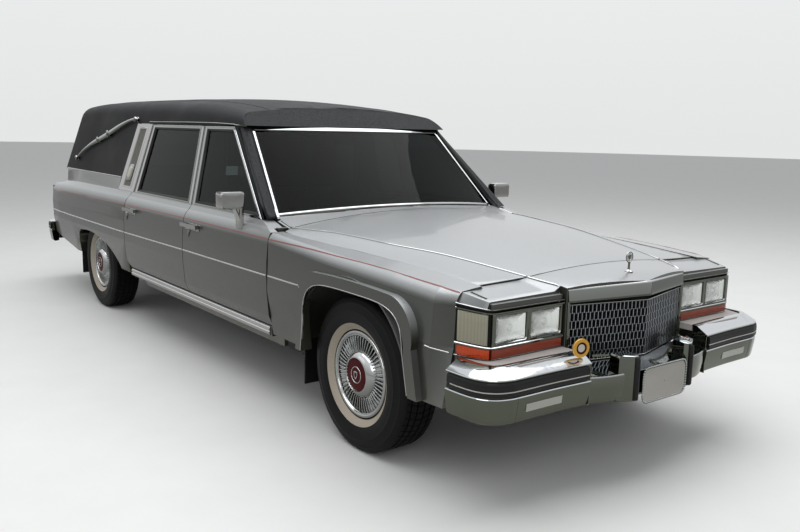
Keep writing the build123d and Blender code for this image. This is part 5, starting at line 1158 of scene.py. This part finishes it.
def makeShelf(shape):
    # between the centre part and the grille's foot
    rows = []
    for k in range(-20, 21):
        y = shelf["half"] * k / 20
        far = abs(y)
        bend, x, slant = shelf["outer"] if far > shelf["outer"][0] else shelf["inner"]
        front = x - max(0, far - bend) * slant
        back = noseX(min(far, shelf["noseHalf"])) + shelf["gap"]
        rows.append([(back + share * (front - back), y, z) for share, z in shelf["section"]])
    shape.tube(rows, caps=True)


def makeFrontBumper():
    chrome, rubber, line, patch, seam, centre = (Shape() for k in range(6))
    planSweep(chrome, "front", bumpers["frontFace"])
    planSweep(rubber, "front", bumpers["rubber"], start=0.004, stop=0.985)
    planSweep(line, "front", bumpers["line"], start=0.008, stop=0.97)
    chrome.box(*bumpers["endPlate"])
    # pale painted reflection of the floor on the lower face, joint in the face
    planSweep(patch, "front", bumpers["patch"], start=0.2, stop=0.5)
    planSweep(seam, "front", [(d + 0.0004, z) for d, z in bumpers["frontFace"]], start=0.545, stop=0.551, step=0.003)
    planSweep(centre, "centre", bumpers["centreFace"])
    for shape in (chrome, rubber, line, patch, seam, centre):
        shape.bothSides()
    chrome.add(centre.points, centre.faces)
    makeShelf(chrome)
    for side in (1, -1):
        makeGuard(chrome, rubber, "front", side)
        chrome.prism([(x, side * y, z) for x, y, z in bumpers["arm"]], (0, 0, 0.01))
        chrome.box(*((x, side * bumpers["bracketAcross"] + y, z) for x, y, z in bumpers["bracket"]))
    chrome.build("frontBumperChrome", ("bright",), replaces=("front_bumper",), angle=32)
    rubber.build("frontBumperRubber", ("black_rubber",), replaces=("bumper_rubber",), angle=40)
    line.build("frontBumperLine", ("badge_white",), angle=40)
    patch.build("frontPaintedReflections", ("painted_reflection",), angle=40)
    seam.build("frontBumperSeams", ("gap_black",), angle=40)


def makeRearBumper():
    chrome, rubber, line = Shape(), Shape(), Shape()
    planSweep(chrome, "rear", bumpers["rearFace"], end=-1)
    planSweep(rubber, "rear", bumpers["rubber"], end=-1, start=0.19, stop=0.985)
    planSweep(line, "rear", bumpers["line"], end=-1, start=0.195, stop=0.97)
    for shape in (chrome, rubber, line):
        shape.bothSides()
    for side in (1, -1):
        makeGuard(chrome, rubber, "rear", side, -1)
    chrome.build("rearBumperChrome", ("bright",), replaces=("rear_bumper",), angle=32)
    rubber.build("rearBumperRubber", ("black_rubber",), replaces=("bumper_rubber",), angle=40)
    line.build("rearBumperLine", ("badge_white",), angle=40)


makeFrontBumper()
makeRearBumper()
makePlate("front", 1)
makePlate("rear", -1)
print("bumpers ready")

# roof and windows: surrounds, gaskets, drip rails, lamp panels, landau bars, vinyl seams, wipers
pane = {"beltY": 0.886, "beltZ": 0.985, "lean": 0.28163}


def onPane(x, z, side, out=0.0):
    return Vector((x, side * (pane["beltY"] - pane["lean"] * (z - pane["beltZ"]) + out), z))


def stripOn(shape, names, line, way, section, step=0.02, keep=None):
    points, ups = castLine(names, runLine(line, step), way, keep)
    if len(points) > 2:
        shape.strip(points, ups, section)


def offMiddle(point):
    return abs(point.y) > 0.6


shield = {
    # edges of the glass on the body
    "low": 0.996, "high": 1.46, "lowY": 0.784, "highY": 0.688,
    # the base runs in a bow: half width, height at the ends, rise in the middle
    "base": (0.782, 1.002, 0.033),
    "widths": {"side": 0.024, "top": 0.034, "base": 0.019},
}


def edgeY(z):
    share = (z - shield["low"]) / (shield["high"] - shield["low"])
    return shield["lowY"] + (shield["highY"] - shield["lowY"]) * share


def bevelled(width):
    half = width / 2
    return mirrorSection(((half, -0.004), (half, 0.002), (half - 0.003, 0.0045)), [(0, 0.0058)])


def makeShieldTrim():
    shape, seal, widths = Shape(), Shape(), shield["widths"]
    half, foot, rise = shield["base"]
    lines = [("side", [(3.0, side * edgeY(z), z) for z in (shield["low"] - 0.006, 1.2, shield["high"] + 0.006)])
             for side in (-1, 1)]
    lines.append(("top", [(3.0, shield["highY"] * k / 12, shield["high"]) for k in range(-12, 13)]))
    lines.append(("base", [(1.4, half * k / 16, foot + rise * (1 - (k / 16) ** 2)) for k in range(-16, 17)]))
    for key, line in lines:
        stripOn(shape, ("windshield",), line, (-1, 0, 0), bevelled(widths[key]))
    shape.build("windshieldTrim", ("bright",), angle=30)
    # dark bead between the trim and the pillar, and the gap at the fender
    for side, hand in hands:
        line = [(3.0, side * (edgeY(z) + 0.0145), z) for z in (shield["low"], 1.2, shield["high"] + 0.004)]
        stripOn(seal, ("windshield", "roof"), line, (-1, 0, 0), flatStrip(0.006, 0.002, 0.003))
        line = [(1.125, side * 0.868), (1.17, side * 0.876), (1.215, side * 0.884), (1.262, side * 0.893)]
        seal.strip(*lineOnTop(("body_shell", "front_fender_" + hand), line, 0.01), flatStrip(0.0022, 0.0008))
    seal.build("windshieldSeal", ("gap_black",), angle=40)


makeShieldTrim()

doorFrames = {
    # corners of each opening and of each frame, as (along the car, height)
    "front": {"opening": mm((231, 1002), (1056, 1002), (512, 1448), (151, 1448)),
              "outer": mm((191, 985), (1102, 985), (520, 1467), (107, 1467))},
    "rear": {"opening": ((-0.764, 1.002), (0.125, 1.002), (0.045, 1.448), (-0.722, 1.448)),
             "outer": ((-0.826, 0.985), (0.179, 0.985), (0.095, 1.467), (-0.772, 1.467))},
}
frameBands = (
    # ring, inner and outer inset, (share between them, height out of the pane), finish:
    # rubber inside the opening, bright bead round it, bright outer bead
    ("opening", -0.001, 0.013, ((0.0, 0.0005), (0.15, 0.0012), (0.8, -0.004), (1.0, -0.0105)), 0),
    ("opening", -0.01, -0.0005, ((0.0, -0.001), (0.12, 0.003), (0.5, 0.004), (0.88, 0.003), (1.0, -0.001)), 1),
    ("outer", 0.001, 0.008, ((0.0, -0.001), (0.15, 0.0024), (0.85, 0.0024), (1.0, -0.001)), 1),
)
# dark joints on the centre post and behind the rear door: foot and head, as (along the car, height)
postGaps = mm(((185, 986), (101, 1467)), ((-832, 986), (-778, 1467)))
dripLine = mm((-845, 1486), (-200, 1488), (250, 1486), (500, 1480), (610, 1470))


def insetRing(corners, d):
    ring, n = [], len(corners)
    for i in range(n):
        p, a, b = (Vector(corners[k % n]) for k in (i, i - 1, i + 1))
        u, v = (p - a).normalized(), (b - p).normalized()
        nu, nv = Vector((-u.y, u.x)), Vector((-v.y, v.x))
        bis = (nu + nv).normalized()
        ring.append(p + bis * (d / max(0.3, bis.dot(nu))))
    return ring


def makeWindowTrims(side, hand):
    for door, rings in doorFrames.items():
        shape = Shape()
        for key, inner, outer, lifts, mark in frameBands:
            shape.tube([[onPane(p.x, p.y, side, lift) for p in insetRing(rings[key], inner + (outer - inner) * share)]
                        for share, lift in lifts], mark)
        shape.build("windowTrim_" + door + "_" + hand, ("black_rubber", "bright"), door + "_door_" + hand, angle=35)
    gaps, rail, way = Shape(), Shape(), (0, -side, 0)
    for (x0, z0), (x1, z1) in postGaps:
        row = [onPane(x0 + (x1 - x0) * t, z0 + (z1 - z0) * t, side, -0.003) for t in (0, 0.5, 1)]
        gaps.strip(row, [Vector((0, side, 0.27)).normalized()] * 3, flatStrip(0.004, 0.001))
    # drip rail over the doors, with its dark groove
    stripOn(rail, ("roof",), [(x, side * 1.4, z) for x, z in dripLine], way, halfRound(0.0085, 0.0075),
            keep=offMiddle)
    stripOn(gaps, ("roof",), [(x, side * 1.4, z - 0.0085) for x, z in dripLine], way, flatStrip(0.0045, 0.0012),
            keep=offMiddle)
    rail.build("dripRail_" + hand, ("bright",), angle=50)
    gaps.build("windowGaps_" + hand, ("gap_black",), angle=40)


for side, hand in hands:
    makeWindowTrims(side, hand)

lampPanel = {
    "foot": 0.985, "rise": 0.49,
    # along the car at the foot, and how far it leans forward
    "rear": (-1.166, 0.082), "front": (-0.838, 0.054),
    # inset along and up, height out of the pane
    "steps": ((0.02, 0.004, 0.0005), (0.03, 0.008, 0.003), (0.2, 0.055, 0.003), (0.215, 0.06, 0.0062),
              (0.265, 0.075, 0.0062), (0.285, 0.082, 0.0012)),
    "ribs": 14, "squareness": 0.45,
    # name, finish, angle, from and to up the panel, half width, height out of the pane
    "lamp": (("Foot", "bright", 35, 0.15, 0.4, 0.15, 0.009), ("Lamp", "opal", 50, 0.19, 0.365, 0.095, 0.017)),
}


def panelPoint(s, t, side, out):
    # s runs from the rear edge to the front edge of the lamp panel, t from the belt to the rail
    rear, front = (x + lean * t for x, lean in (lampPanel["rear"], lampPanel["front"]))
    return onPane(rear + (front - rear) * s, lampPanel["foot"] + lampPanel["rise"] * t, side, out)


def squared(value):
    return math.copysign(abs(value) ** lampPanel["squareness"], value)


def makeLampPanel(side, hand):
    shape, last = Shape(), lampPanel["ribs"] * 2
    shape.tube([[panelPoint(s, t, side, out) for s, t in ((a, b), (1 - a, b), (1 - a, 1 - b), (a, 1 - b))]
                for a, b, out in lampPanel["steps"]])
    shape.grid([[panelPoint(0.285 + 0.43 * k / last, t, side, 0.0014 + 0.0018 * (k % 2)) for t in (0.08, 0.5, 0.92)]
                for k in range(last + 1)], 1)
    shape.build("lampPanelTrim_" + hand, ("bright_trim", "lamp_panel"), angle=25)
    # small upright lamp on a bright foot
    for part, slotName, angle, low, high, wide, out in lampPanel["lamp"]:
        shape, middle, half = Shape(), (low + high) / 2, (high - low) / 2
        steps = (1.0, 0.001), (1.0, out * 0.7), (0.86, out), (0.5, out * 1.06), (0.02, out * 1.08)
        shape.tube([[panelPoint(0.5 + grow * wide * squared(c), middle + grow * half * squared(s), side, lift)
                     for c, s in circle(24)] for grow, lift in steps])
        shape.build("lampPanel" + part + "_" + hand, (slotName,), angle=angle)


for side, hand in hands:
    makeLampPanel(side, hand)

landau = {
    # along the car, height, half breadth of the blade
    "line": mm(
        (-1100, 1502, 10), (-1180, 1499, 11), (-1290, 1480, 14), (-1450, 1442, 19), (-1640, 1388, 22),
        (-1800, 1348, 21), (-1980, 1305, 18), (-2140, 1252, 13), (-2240, 1205, 10), (-2300, 1175, 9)),
    # along the car, height, radius
    "knobs": mm((-1100, 1502, 21), (-1640, 1388, 29), (-1850, 1336, 25), (-2300, 1175, 20)),
    # distance out of the roof, share of the radius
    "knobSteps": ((0.002, 1.0), (0.006, 1.0), (0.01, 0.62), (0.016, 0.55), (0.019, 0.95), (0.026, 1.0), (0.031, 0.85),
                  (0.034, 0.5), (0.035, 0.02)),
    "standOff": 0.02, "halfThick": 0.0075,
}


def makeLandauBars():
    shape, points = Shape(), []
    flat = smoothLine([(x, breadth, z) for x, z, breadth in landau["line"]], 6)
    for p in flat:
        spot, up = castOn(("roof",), (p.x, -1.4, p.z), (0, 1, 0))
        points.append(Vector((p.x, spot.y - landau["standOff"], p.z)))
    rows = []
    for i, p in enumerate(points):
        along = (points[min(i + 1, len(points) - 1)] - points[max(i - 1, 0)]).normalized()
        across = along.cross(Vector((0, -0.96, 0.27))).normalized()
        out = across.cross(along).normalized()
        rows.append([p + across * flat[i].y * c + out * landau["halfThick"] * s for c, s in circle(18)])
    shape.tube(rows, caps=True)
    for x, z, r in landau["knobs"]:
        spot, up = castOn(("roof",), (x, -1.4, z), (0, 1, 0))
        shape.tube([[(x + share * r * c, spot.y - depth, z + share * r * s) for c, s in circle(28)]
                    for depth, share in landau["knobSteps"]])
    shape.bothSides().build("landauIrons", ("bright",), replaces=("landau_bars",), angle=45)


makeLandauBars()

vinyl = {
    "seam": mirrorSection(((0.0042, -0.002), (0.004, 0.0006), (0.0022, 0.0016), (0.0008, 0.0004))),
    # lines over the top, as (along the car, across), and their step
    "over": ((((0.56, -0.52), (-1.0, -0.52), (-2.38, -0.52)), 0.04),
             (((0.56, 0.52), (-1.0, 0.52), (-2.38, 0.52)), 0.04), (((-1.09, -0.7), (-1.09, 0.7)), 0.03)),
    # seam down the quarter and trim along its foot, as (along the car, height)
    "quarter": mm((-1075, 1470), (-1130, 1200), (-1148, 1090)),
    "foot": mm((-1152, 1077), (-2000, 1077), (-2560, 1077)),
}


def makeVinylSeams():
    seams, edge = Shape(), Shape()
    for line, step in vinyl["over"]:
        seams.strip(*lineOnTop(("roof",), line, step), vinyl["seam"])
    for side, hand in hands:
        stripOn(seams, ("roof",), [(x, side * 1.4, z) for x, z in vinyl["quarter"]], (0, -side, 0), vinyl["seam"],
                keep=offMiddle)
        stripOn(edge, ("roof", "quarter_right", "quarter_left", "body_shell"),
                [(x, side * 1.4, z) for x, z in vinyl["foot"]], (0, -side, 0), halfRound(0.009, 0.0045, 0.003), 0.04,
                offMiddle)
    seams.build("vinylSeams", ("vinyl",), angle=60)
    edge.build("vinylEdgeTrims", ("bright_trim",), angle=50)


makeVinylSeams()

# wipers: foot and tip, as (along the car, across)
wipers = mm(((1190, -300), (1118, -700)), ((1205, 180), (1160, -240)))


def makeWipers():
    arms, blades = Shape(), Shape()
    for foot, tip in wipers:
        foot, up = castOn(("body_shell", "hood", "windshield"), (*foot, 2.0), (0, 0, -1))
        end, up = castOn(("windshield",), (*tip, 2.0), (0, 0, -1))
        face = [Vector((0.5, 0, 0.86))]
        points = [foot.lerp(end, t) + Vector((0, 0, 0.01)) for t in (0, 0.25, 0.5, 0.75, 1.0)]
        arms.strip(points, face * 5, flatBar(0.008, 0.003, 0.001))
        way = (end - foot).normalized()
        points = [end + way * d + Vector((0.003, 0, 0.006)) for d in (-0.3, -0.15, 0, 0.1)]
        blades.strip(points, face * 4, flatBar(0.007, 0.004, 0.004))
    arms.build("wiperArms", ("iron",), angle=40)
    blades.build("wiperBlades", ("black_rubber",), angle=40)


makeWipers()
print("windows and roof ready")

# cabin, load deck and tail: padded bench, mirror, dash details, rollers, tail lamps and tail door trims
bench = {
    "parts": {"Right": (-0.672, -0.118), "Middle": (-0.112, 0.112), "Left": (0.118, 0.672)},
    # along the car and height of the cushion's and the back's outlines, seen from the side
    "Cushion": mm((110, 400), (100, 520), (160, 560), (380, 585), (540, 588), (598, 560), (604, 480), (580, 405)),
    "Back": mm(
        (145, 520), (110, 700), (80, 880), (55, 990), (20, 1038), (-12, 1020), (-20, 900), (10, 560), (60, 500)),
    "channel": 0.112, "puff": 0.12, "fill": 0.85,
    # two feet and a tray: outline, from, width
    "frame": ((((0.1, 0.326), (0.56, 0.326), (0.54, 0.402), (0.12, 0.402)), -0.42, 0.04),
              (((0.1, 0.326), (0.56, 0.326), (0.54, 0.402), (0.12, 0.402)), 0.38, 0.04),
              (((0.085, 0.385), (0.57, 0.385), (0.575, 0.415), (0.08, 0.415)), -0.64, 1.28)),
}


def makePad(name, outline, y0, y1):
    flat = smoothLine([(x, 0, z) for x, z in outline] + [(outline[0][0], 0, outline[0][1])], 5)[:-1]
    cx, cz = (sum(p[i] for p in flat) / len(flat) for i in (0, 2))
    count = max(4, int((y1 - y0) / 0.013))
    channels = max(1, round((y1 - y0) / bench["channel"]))
    rows = []
    for k in range(count + 1):
        t = k / count
        # the ends are drawn in, sewn channels press lines into the face
        crown = 1.0 - 0.16 * (abs(2 * t - 1) ** 8) - 0.1 * (abs(2 * t - 1) ** 30)
        size = crown * (1 - bench["puff"] * abs(math.cos(math.pi * channels * t)) ** 14)
        rows.append([(cx + (p.x - cx) * size, y0 + (y1 - y0) * t, cz + (p.z - cz) * size) for p in flat])
    shape = Shape()
    shape.tube(rows)
    for row, order in ((rows[0], 1), (rows[-1], -1)):
        inner = [(cx + (x - cx) * 0.55, y + order * -0.004, cz + (z - cz) * 0.55) for x, y, z in row]
        shape.tube([row, inner])
        shape.add(inner, [tuple(range(len(inner)))])
    pad = shape.build(name, ("seat_cloth",), replaces=("front_seat",), angle=70, subdivide=1)


def makeBench():
    for word, (y0, y1) in bench["parts"].items():
        for part in ("Cushion", "Back"):
            makePad("bench" + part + word, bench[part], y0, y1)
    base = Shape()
    for outline, y, width in bench["frame"]:
        base.prism([(x, y, z) for x, z in outline], (0, width, 0))
    base.build("benchFrame", ("iron",), replaces=("front_seat",), bevel=0.003)


makeBench()

innerMirror = {
    "x": 0.6, "outline": (-0.115, 0.115, 1.366, 1.418, 0.022),
    # share of the outline, distance forward
    "steps": ((0.02, 0.01), (0.8, 0.01), (0.95, 0.007), (1.0, 0.0), (0.97, -0.006), (0.9, -0.008),
              (0.02, -0.0075)),
    "stalk": mm((612, 0, 1395), (640, 0, 1420), (655, 0, 1440)),
}
dash = {
    # instrument face, vents and glove box: y from, y to, z from, z to
    "faces": mm(
        (215, 560, 790, 880), (-110, 130, 800, 870), (-600, -220, 720, 830), (620, 740, 820, 870),
        (-740, -640, 820, 870)),
    "steps": ((1.0, 0.002), (1.0, -0.004), (0.97, -0.006), (0.94, -0.004), (0.93, 0.0005)),
}
partition = {
    "window": (-0.548, 0.548, 1.057, 1.423, 0.03), "middle": 1.24, "faces": ((-0.122, -1), (-0.1, 1)),
    "steps": ((1.0, -0.001), (1.0, 0.006), (0.975, 0.008), (0.945, 0.006), (0.94, -0.001)),
}
deck = {
    "rollerX": mm(-450, -850, -1250, -1650, -2050, -2400), "rollerY": mm(-230, 230), "rollerZ": 0.64,
    "railX": mm(-200, -1200, -2470), "railY": mm(-480, -120, 120, 480), "top": 0.624,
    # along the roller, radius
    "roller": mm((-75, 4), (-75, 17), (-70, 20), (-20, 21.5), (20, 21.5), (70, 20), (75, 17), (75, 4)),
    # cheek beside a roller: along the car, height
    "cheek": mm((-22, 624), (22, 624), (12, 654), (-12, 654)),
}


def makeInnerMirror():
    shape, middle = Shape(), 1.392
    shape.tube([[(innerMirror["x"] + ahead, y * grow, middle + (z - middle) * grow)
                 for y, z in roundedRect(*innerMirror["outline"])] for grow, ahead in innerMirror["steps"]])
    shape.strip([Vector(p) for p in innerMirror["stalk"]], [Vector((1, 0, 0))] * 3, flatBar(0.012, 0.004, 0.004))
    shape.build("innerMirror", ("cabin_plastic",), angle=40)


def makeDashBezels():
    shape = Shape()
    for y0, y1, z0, z1 in dash["faces"]:
        cy, cz = (y0 + y1) / 2, (z0 + z1) / 2
        rows = []
        for grow, out in dash["steps"]:
            row = []
            for y, z in roundedRect(y0, y1, z0, z1, 0.01):
                py, pz = cy + (y - cy) * grow, cz + (z - cz) * grow
                spot, up = castOn(("dashboard",), (0.5, py, pz), (1, 0, 0))
                row.append((spot.x + out, py, pz))
            rows.append(row)
        shape.tube(rows)
    shape.build("dashBezels", ("bright_trim",), angle=30)


def makePartitionTrim():
    shape, middle = Shape(), partition["middle"]
    for x, way in partition["faces"]:
        shape.tube([[(x + way * out, y * (1 - (1 - grow) * 0.6), middle + (z - middle) * grow)
                     for y, z in roundedRect(*partition["window"])] for grow, out in partition["steps"]])
    shape.build("partitionTrim", ("bright_trim",), angle=40)


def makeDeck():
    # rollers between their cheeks, and rails
    rollers, rails = Shape(), Shape()
    for x in deck["rollerX"]:
        for y in deck["rollerY"]:
            rollers.tube([[(x + r * c, y + dy, deck["rollerZ"] + r * s) for c, s in circle(20)]
                          for dy, r in deck["roller"]], caps=True)
            for dy in (-0.09, 0.082):
                rails.prism([(x + dx, y + dy, z) for dx, z in deck["cheek"]], (0, 0.008, 0))
    for y in deck["railY"]:
        rails.strip([Vector((x, y, deck["top"])) for x in deck["railX"]], [Vector((0, 0, 1))] * 3,
                    halfRound(0.03, 0.006, 0.002))
    rollers.build("deckRollers", ("black_rubber",), angle=45)
    rails.build("deckRails", ("bright_trim",), angle=40)


makeInnerMirror()
makeDashBezels()
makePartitionTrim()
makeDeck()

tail = {
    # the lamp's face leans: along the car at its foot, and per metre of height
    "lampY": mm(830, 910), "lampZ": mm(582, 904), "lampFace": (-2.826, -0.1286, 0.584),
    "bars": mm(703, 765),
    # change of height at foot and head, distance out, share of the width
    "lensSteps": ((0, -0.004, 0.86), (0, 0.003, 0.86), (0.003, 0.0055, 0.8), (0.02, 0.0062, 0.4)),
    "caseSteps": ((-0.004, -0.01, 1.04), (-0.004, 0.006, 1.04), (-0.002, 0.0085, 1.0), (0.004, 0.006, 0.9),
                  (0.004, -0.004, 0.88)),
    # the window: half width, foot, head, corner; the door's face there: place at 1 m, per metre of height
    "window": mm(-478, 478, 1088, 1478, 30), "doorFace": (-2.6057, 0.206),
    "windowSteps": ((1.0, -0.002), (1.0, 0.003), (0.985, 0.0045), (0.965, 0.003), (0.96, -0.004)),
    "handle": mm(-2617, -570, 820),
    # along the pull, radius
    "pull": mm((-70, 3), (-70, 8), (-55, 11), (55, 11), (70, 8), (70, 3)),
    "plateSteps": ((-2.604, 1, 1), (-2.6078, 1, 1), (-2.609, 0.95, 0.9), (-2.609, 0.02, 0.02)),
    "moulding": mm((-2605, -650, 694), (-2605, 0, 694), (-2605, 650, 694)),
}


def lampFaceX(z):
    place, lean, foot = tail["lampFace"]
    return place + lean * (z - foot)


def makeTailLamps():
    clear, case, red = Shape(), Shape(), Shape()
    (y0, y1), (z0, z1) = tail["lampY"], tail["lampZ"]
    cy = (y0 + y1) / 2

    def ring(low, high, steps):
        return [[(lampFaceX(h) - lift, cy + (y - cy) * wide, h)
                 for y, h in roundedRect(y0, y1, low + dz, high - dz, 0.008)] for dz, lift, wide in steps]
    for shape, low, high in ((red, z0 + 0.006, 0.7), (clear, 0.706, 0.762), (red, 0.768, z1 - 0.006)):
        rows = ring(low, high, tail["lensSteps"])
        shape.tube(rows)
        shape.add(rows[-1], [tuple(range(len(rows[-1])))])
    case.tube(ring(z0, z1, tail["caseSteps"]))
    for z in tail["bars"]:
        x = lampFaceX(z)
        case.box((x - 0.0065, y0 + 0.003, z - 0.003), (x + 0.004, y1 - 0.003, z + 0.003))
    for shape, name, slotName, angle in (
            (red, "tailLampLenses", "red_lens", 50), (clear, "reversingLamps", "opal", 50),
            (case, "tailLampFrames", "bright", 35)):
        shape.bothSides().build(name, (slotName,), replaces=("tail_lamps",), angle=angle)


def makeTailDoor():
    # window surround, pull on its plate, and a moulding in line with the side mouldings
    trim, pull, strip = Shape(), Shape(), Shape()
    cz = (tail["window"][2] + tail["window"][3]) / 2
    face, lean = tail["doorFace"]
    rows = []
    for grow, out in tail["windowSteps"]:
        spots = [(y * (1 - (1 - grow) * 0.8), cz + (z - cz) * grow) for y, z in roundedRect(*tail["window"])]
        rows.append([(face + lean * (z - 1.0) - out, y, z) for y, z in spots])
    trim.tube(rows)
    trim.build("tailWindowTrim", ("bright",), "tail_door", angle=35)
    x, y, z = tail["handle"]
    pull.tube([[(x - 0.016 - r * 0.7 * c, y + dy, z + r * s) for c, s in circle(14)] for dy, r in tail["pull"]],
              caps=True)
    for dy in (-0.045, 0.045):
        pull.box((x - 0.018, y + dy - 0.006, z - 0.007), (x + 0.013, y + dy + 0.006, z + 0.007))
    plate = roundedRect(y - 0.085, y + 0.085, z - 0.022, z + 0.022, 0.012)
    pull.tube([[(px, y + (py - y) * wide, z + (pz - z) * high) for py, pz in plate]
               for px, wide, high in tail["plateSteps"]])
    pull.build("tailHandleTrim", ("bright",), "tail_door", angle=35)
    strip.strip([Vector(p) for p in tail["moulding"]], [Vector((-1, 0, 0))] * 3, halfRound(0.018, 0.006, 0.003))
    strip.build("tailDoorMoulding", ("bright_trim",), "tail_door", angle=40)


makeTailLamps()
makeTailDoor()


def makeFenderSlits():
    # dark slit in a painted rim, on the header beside the lamps
    for name, slotName, half, lift in (("fenderSlitRims", "body_paint", 0.0075, 0.0008),
                                       ("fenderSlits", "gap_black", 0.00425, 0.0016)):
        shape = Shape()
        for side in (-1, 1):
            line = [(2.662, side * 0.806), (2.7, side * 0.8), (2.738, side * 0.794)]
            shape.strip(*lineOnTop(("header_panel",), line, 0.012), flatStrip(half, lift))
        shape.build(name, (slotName,), angle=40)


makeFenderSlits()
print("cabin and tail ready")

# CAD pieces that stay on show: finishes by slot, rounded edges
slotOf = {name: entry["slot"] for entry in frame["record"]["materials"] for name in entry.get("nodes", [])}
rounded = {"header_panel": 0.007, "hood": 0.003, "quarter_left": 0.004, "quarter_right": 0.004, "roof": 0.01,
           "rear_pan": 0.006}
# body-colour filler above the bumper, painted paler than the paint for the light it catches (painted light): forward
# of, and between two heights
ledge = (2.7, 0.57, 0.6095)


def dressNodes():
    for name, node in nodes.items():
        own = slotOf.get(name, "body_paint")
        packed = [m.name.split(".")[0] if m else "" for m in node.data.materials] or [own]
        node.data.materials.clear()
        for slotName in packed:
            node.data.materials.append(finish.get(slotName, finish[own]))


# gives the ledge's faces the paler colour of painted light
def paintLedge():
    mesh = nodes["header_panel"].data
    mesh.materials.append(finish["ledge_grey"])
    for face in mesh.polygons:
        if face.center.x > ledge[0] and ledge[1] < face.center.z < ledge[2]:
            face.material_index = len(mesh.materials) - 1


def roundEdges():
    for name, width in rounded.items():
        weld = nodes[name].modifiers.new("weld", "WELD")
        weld.merge_threshold = 0.00005
        bevel = nodes[name].modifiers.new("round", "BEVEL")
        bevel.width, bevel.segments, bevel.limit_method = width, 3, "ANGLE"
        bevel.angle_limit = math.radians(22)
        bevel.use_clamp_overlap = bevel.harden_normals = True


dressNodes()
paintLedge()
roundEdges()

# light, floor and backdrop
studio = {
    "floor": (0.92, 0.925, 0.92), "floorThrow": (0.2, 0.21, 0.17, 1),
    "sky": (0.9, 0.91, 0.92, 1), "skyLevel": 0.43,
    "horizon": (0.78, 0.79, 0.79, 1), "zenith": (0.93, 0.94, 0.95, 1),
    "lamps": (
        # name, place, aimed at, size, strength
        ("overheadSoftbox", (1.0, 0.0, 7.5), (0.3, 0, 0.6), (12.0, 8.0), 520),
        ("frontSoftbox", (7.5, -4.5, 4.2), (1.2, 0, 0.8), (4.0, 3.0), 60),
        ("sideSoftbox", (-2.5, -8.0, 4.5), (-0.3, 0, 0.8), (6.0, 3.0), 20),
    ),
}


def seenDirectly(tree):
    # 1 for the rays that show a surface, 0 for those that only light others
    rays = put(tree, "LightPath").outputs
    some = maths(tree, "ADD", rays["Is Camera Ray"], rays["Is Glossy Ray"])
    return maths(tree, "ADD", some, rays["Is Transmission Ray"], use_clamp=True)


def makeFloor():
    mat, tree, shader = newMaterial("studioFloor", {"Roughness": 0.85})
    mottled = remap(tree, noise(tree, objectPlace(tree), 3, 5, 0.6), 0.3, 0.7, 0, 1)
    pale = mixed(tree, mottled, (*(0.97 * c for c in studio["floor"]), 1), (*studio["floor"], 1))
    # the floor looks pale but throws little light up at the car
    feed(tree, shader, {"Base Color": mixed(tree, seenDirectly(tree), studio["floorThrow"], pale)})
    mesh = bpy.data.meshes.new("floor")
    bm = bmesh.new()
    bmesh.ops.create_circle(bm, cap_ends=True, radius=60, segments=96)
    bm.to_mesh(mesh)
    bm.free()
    mesh.materials.append(mat)
    floor = bpy.data.objects.new("floor", mesh)
    bpy.context.scene.collection.objects.link(floor)


def makeBackdrop():
    world = bpy.context.scene.world = bpy.data.worlds.new("studioWorld")
    world.use_nodes = True
    tree = world.node_tree
    tree.nodes.clear()
    up = put(tree, "SeparateXYZ", {0: put(tree, "TexCoord").outputs["Generated"]}).outputs["Z"]
    backdrop = mixed(tree, remap(tree, up, 0.0, 0.5, 0.0, 1.0), studio["horizon"], studio["zenith"])
    lightSide = put(tree, "Background", {"Color": studio["sky"], "Strength": studio["skyLevel"]}).outputs[0]
    seenSide = put(tree, "Background", {"Color": backdrop}).outputs[0]
    sides = put(tree, "MixShader", {0: seenDirectly(tree), 1: lightSide, 2: seenSide}).outputs[0]
    put(tree, "OutputWorld", {"Surface": sides})


def makeSoftboxes():
    for name, place, aim, size, power in studio["lamps"]:
        data = bpy.data.lights.new(name, "AREA")
        data.shape, data.energy = "RECTANGLE", power
        data.size, data.size_y = size
        lamp = bpy.data.objects.new(name, data)
        back = Vector(place) - Vector(aim)
        lamp.matrix_world = Matrix.Translation(place) @ back.to_track_quat("Z", "Y").to_matrix().to_4x4()
        bpy.context.scene.collection.objects.link(lamp)


makeFloor()
makeBackdrop()
makeSoftboxes()
bpy.context.scene.view_settings.view_transform = "Standard"
print("light and floor ready")
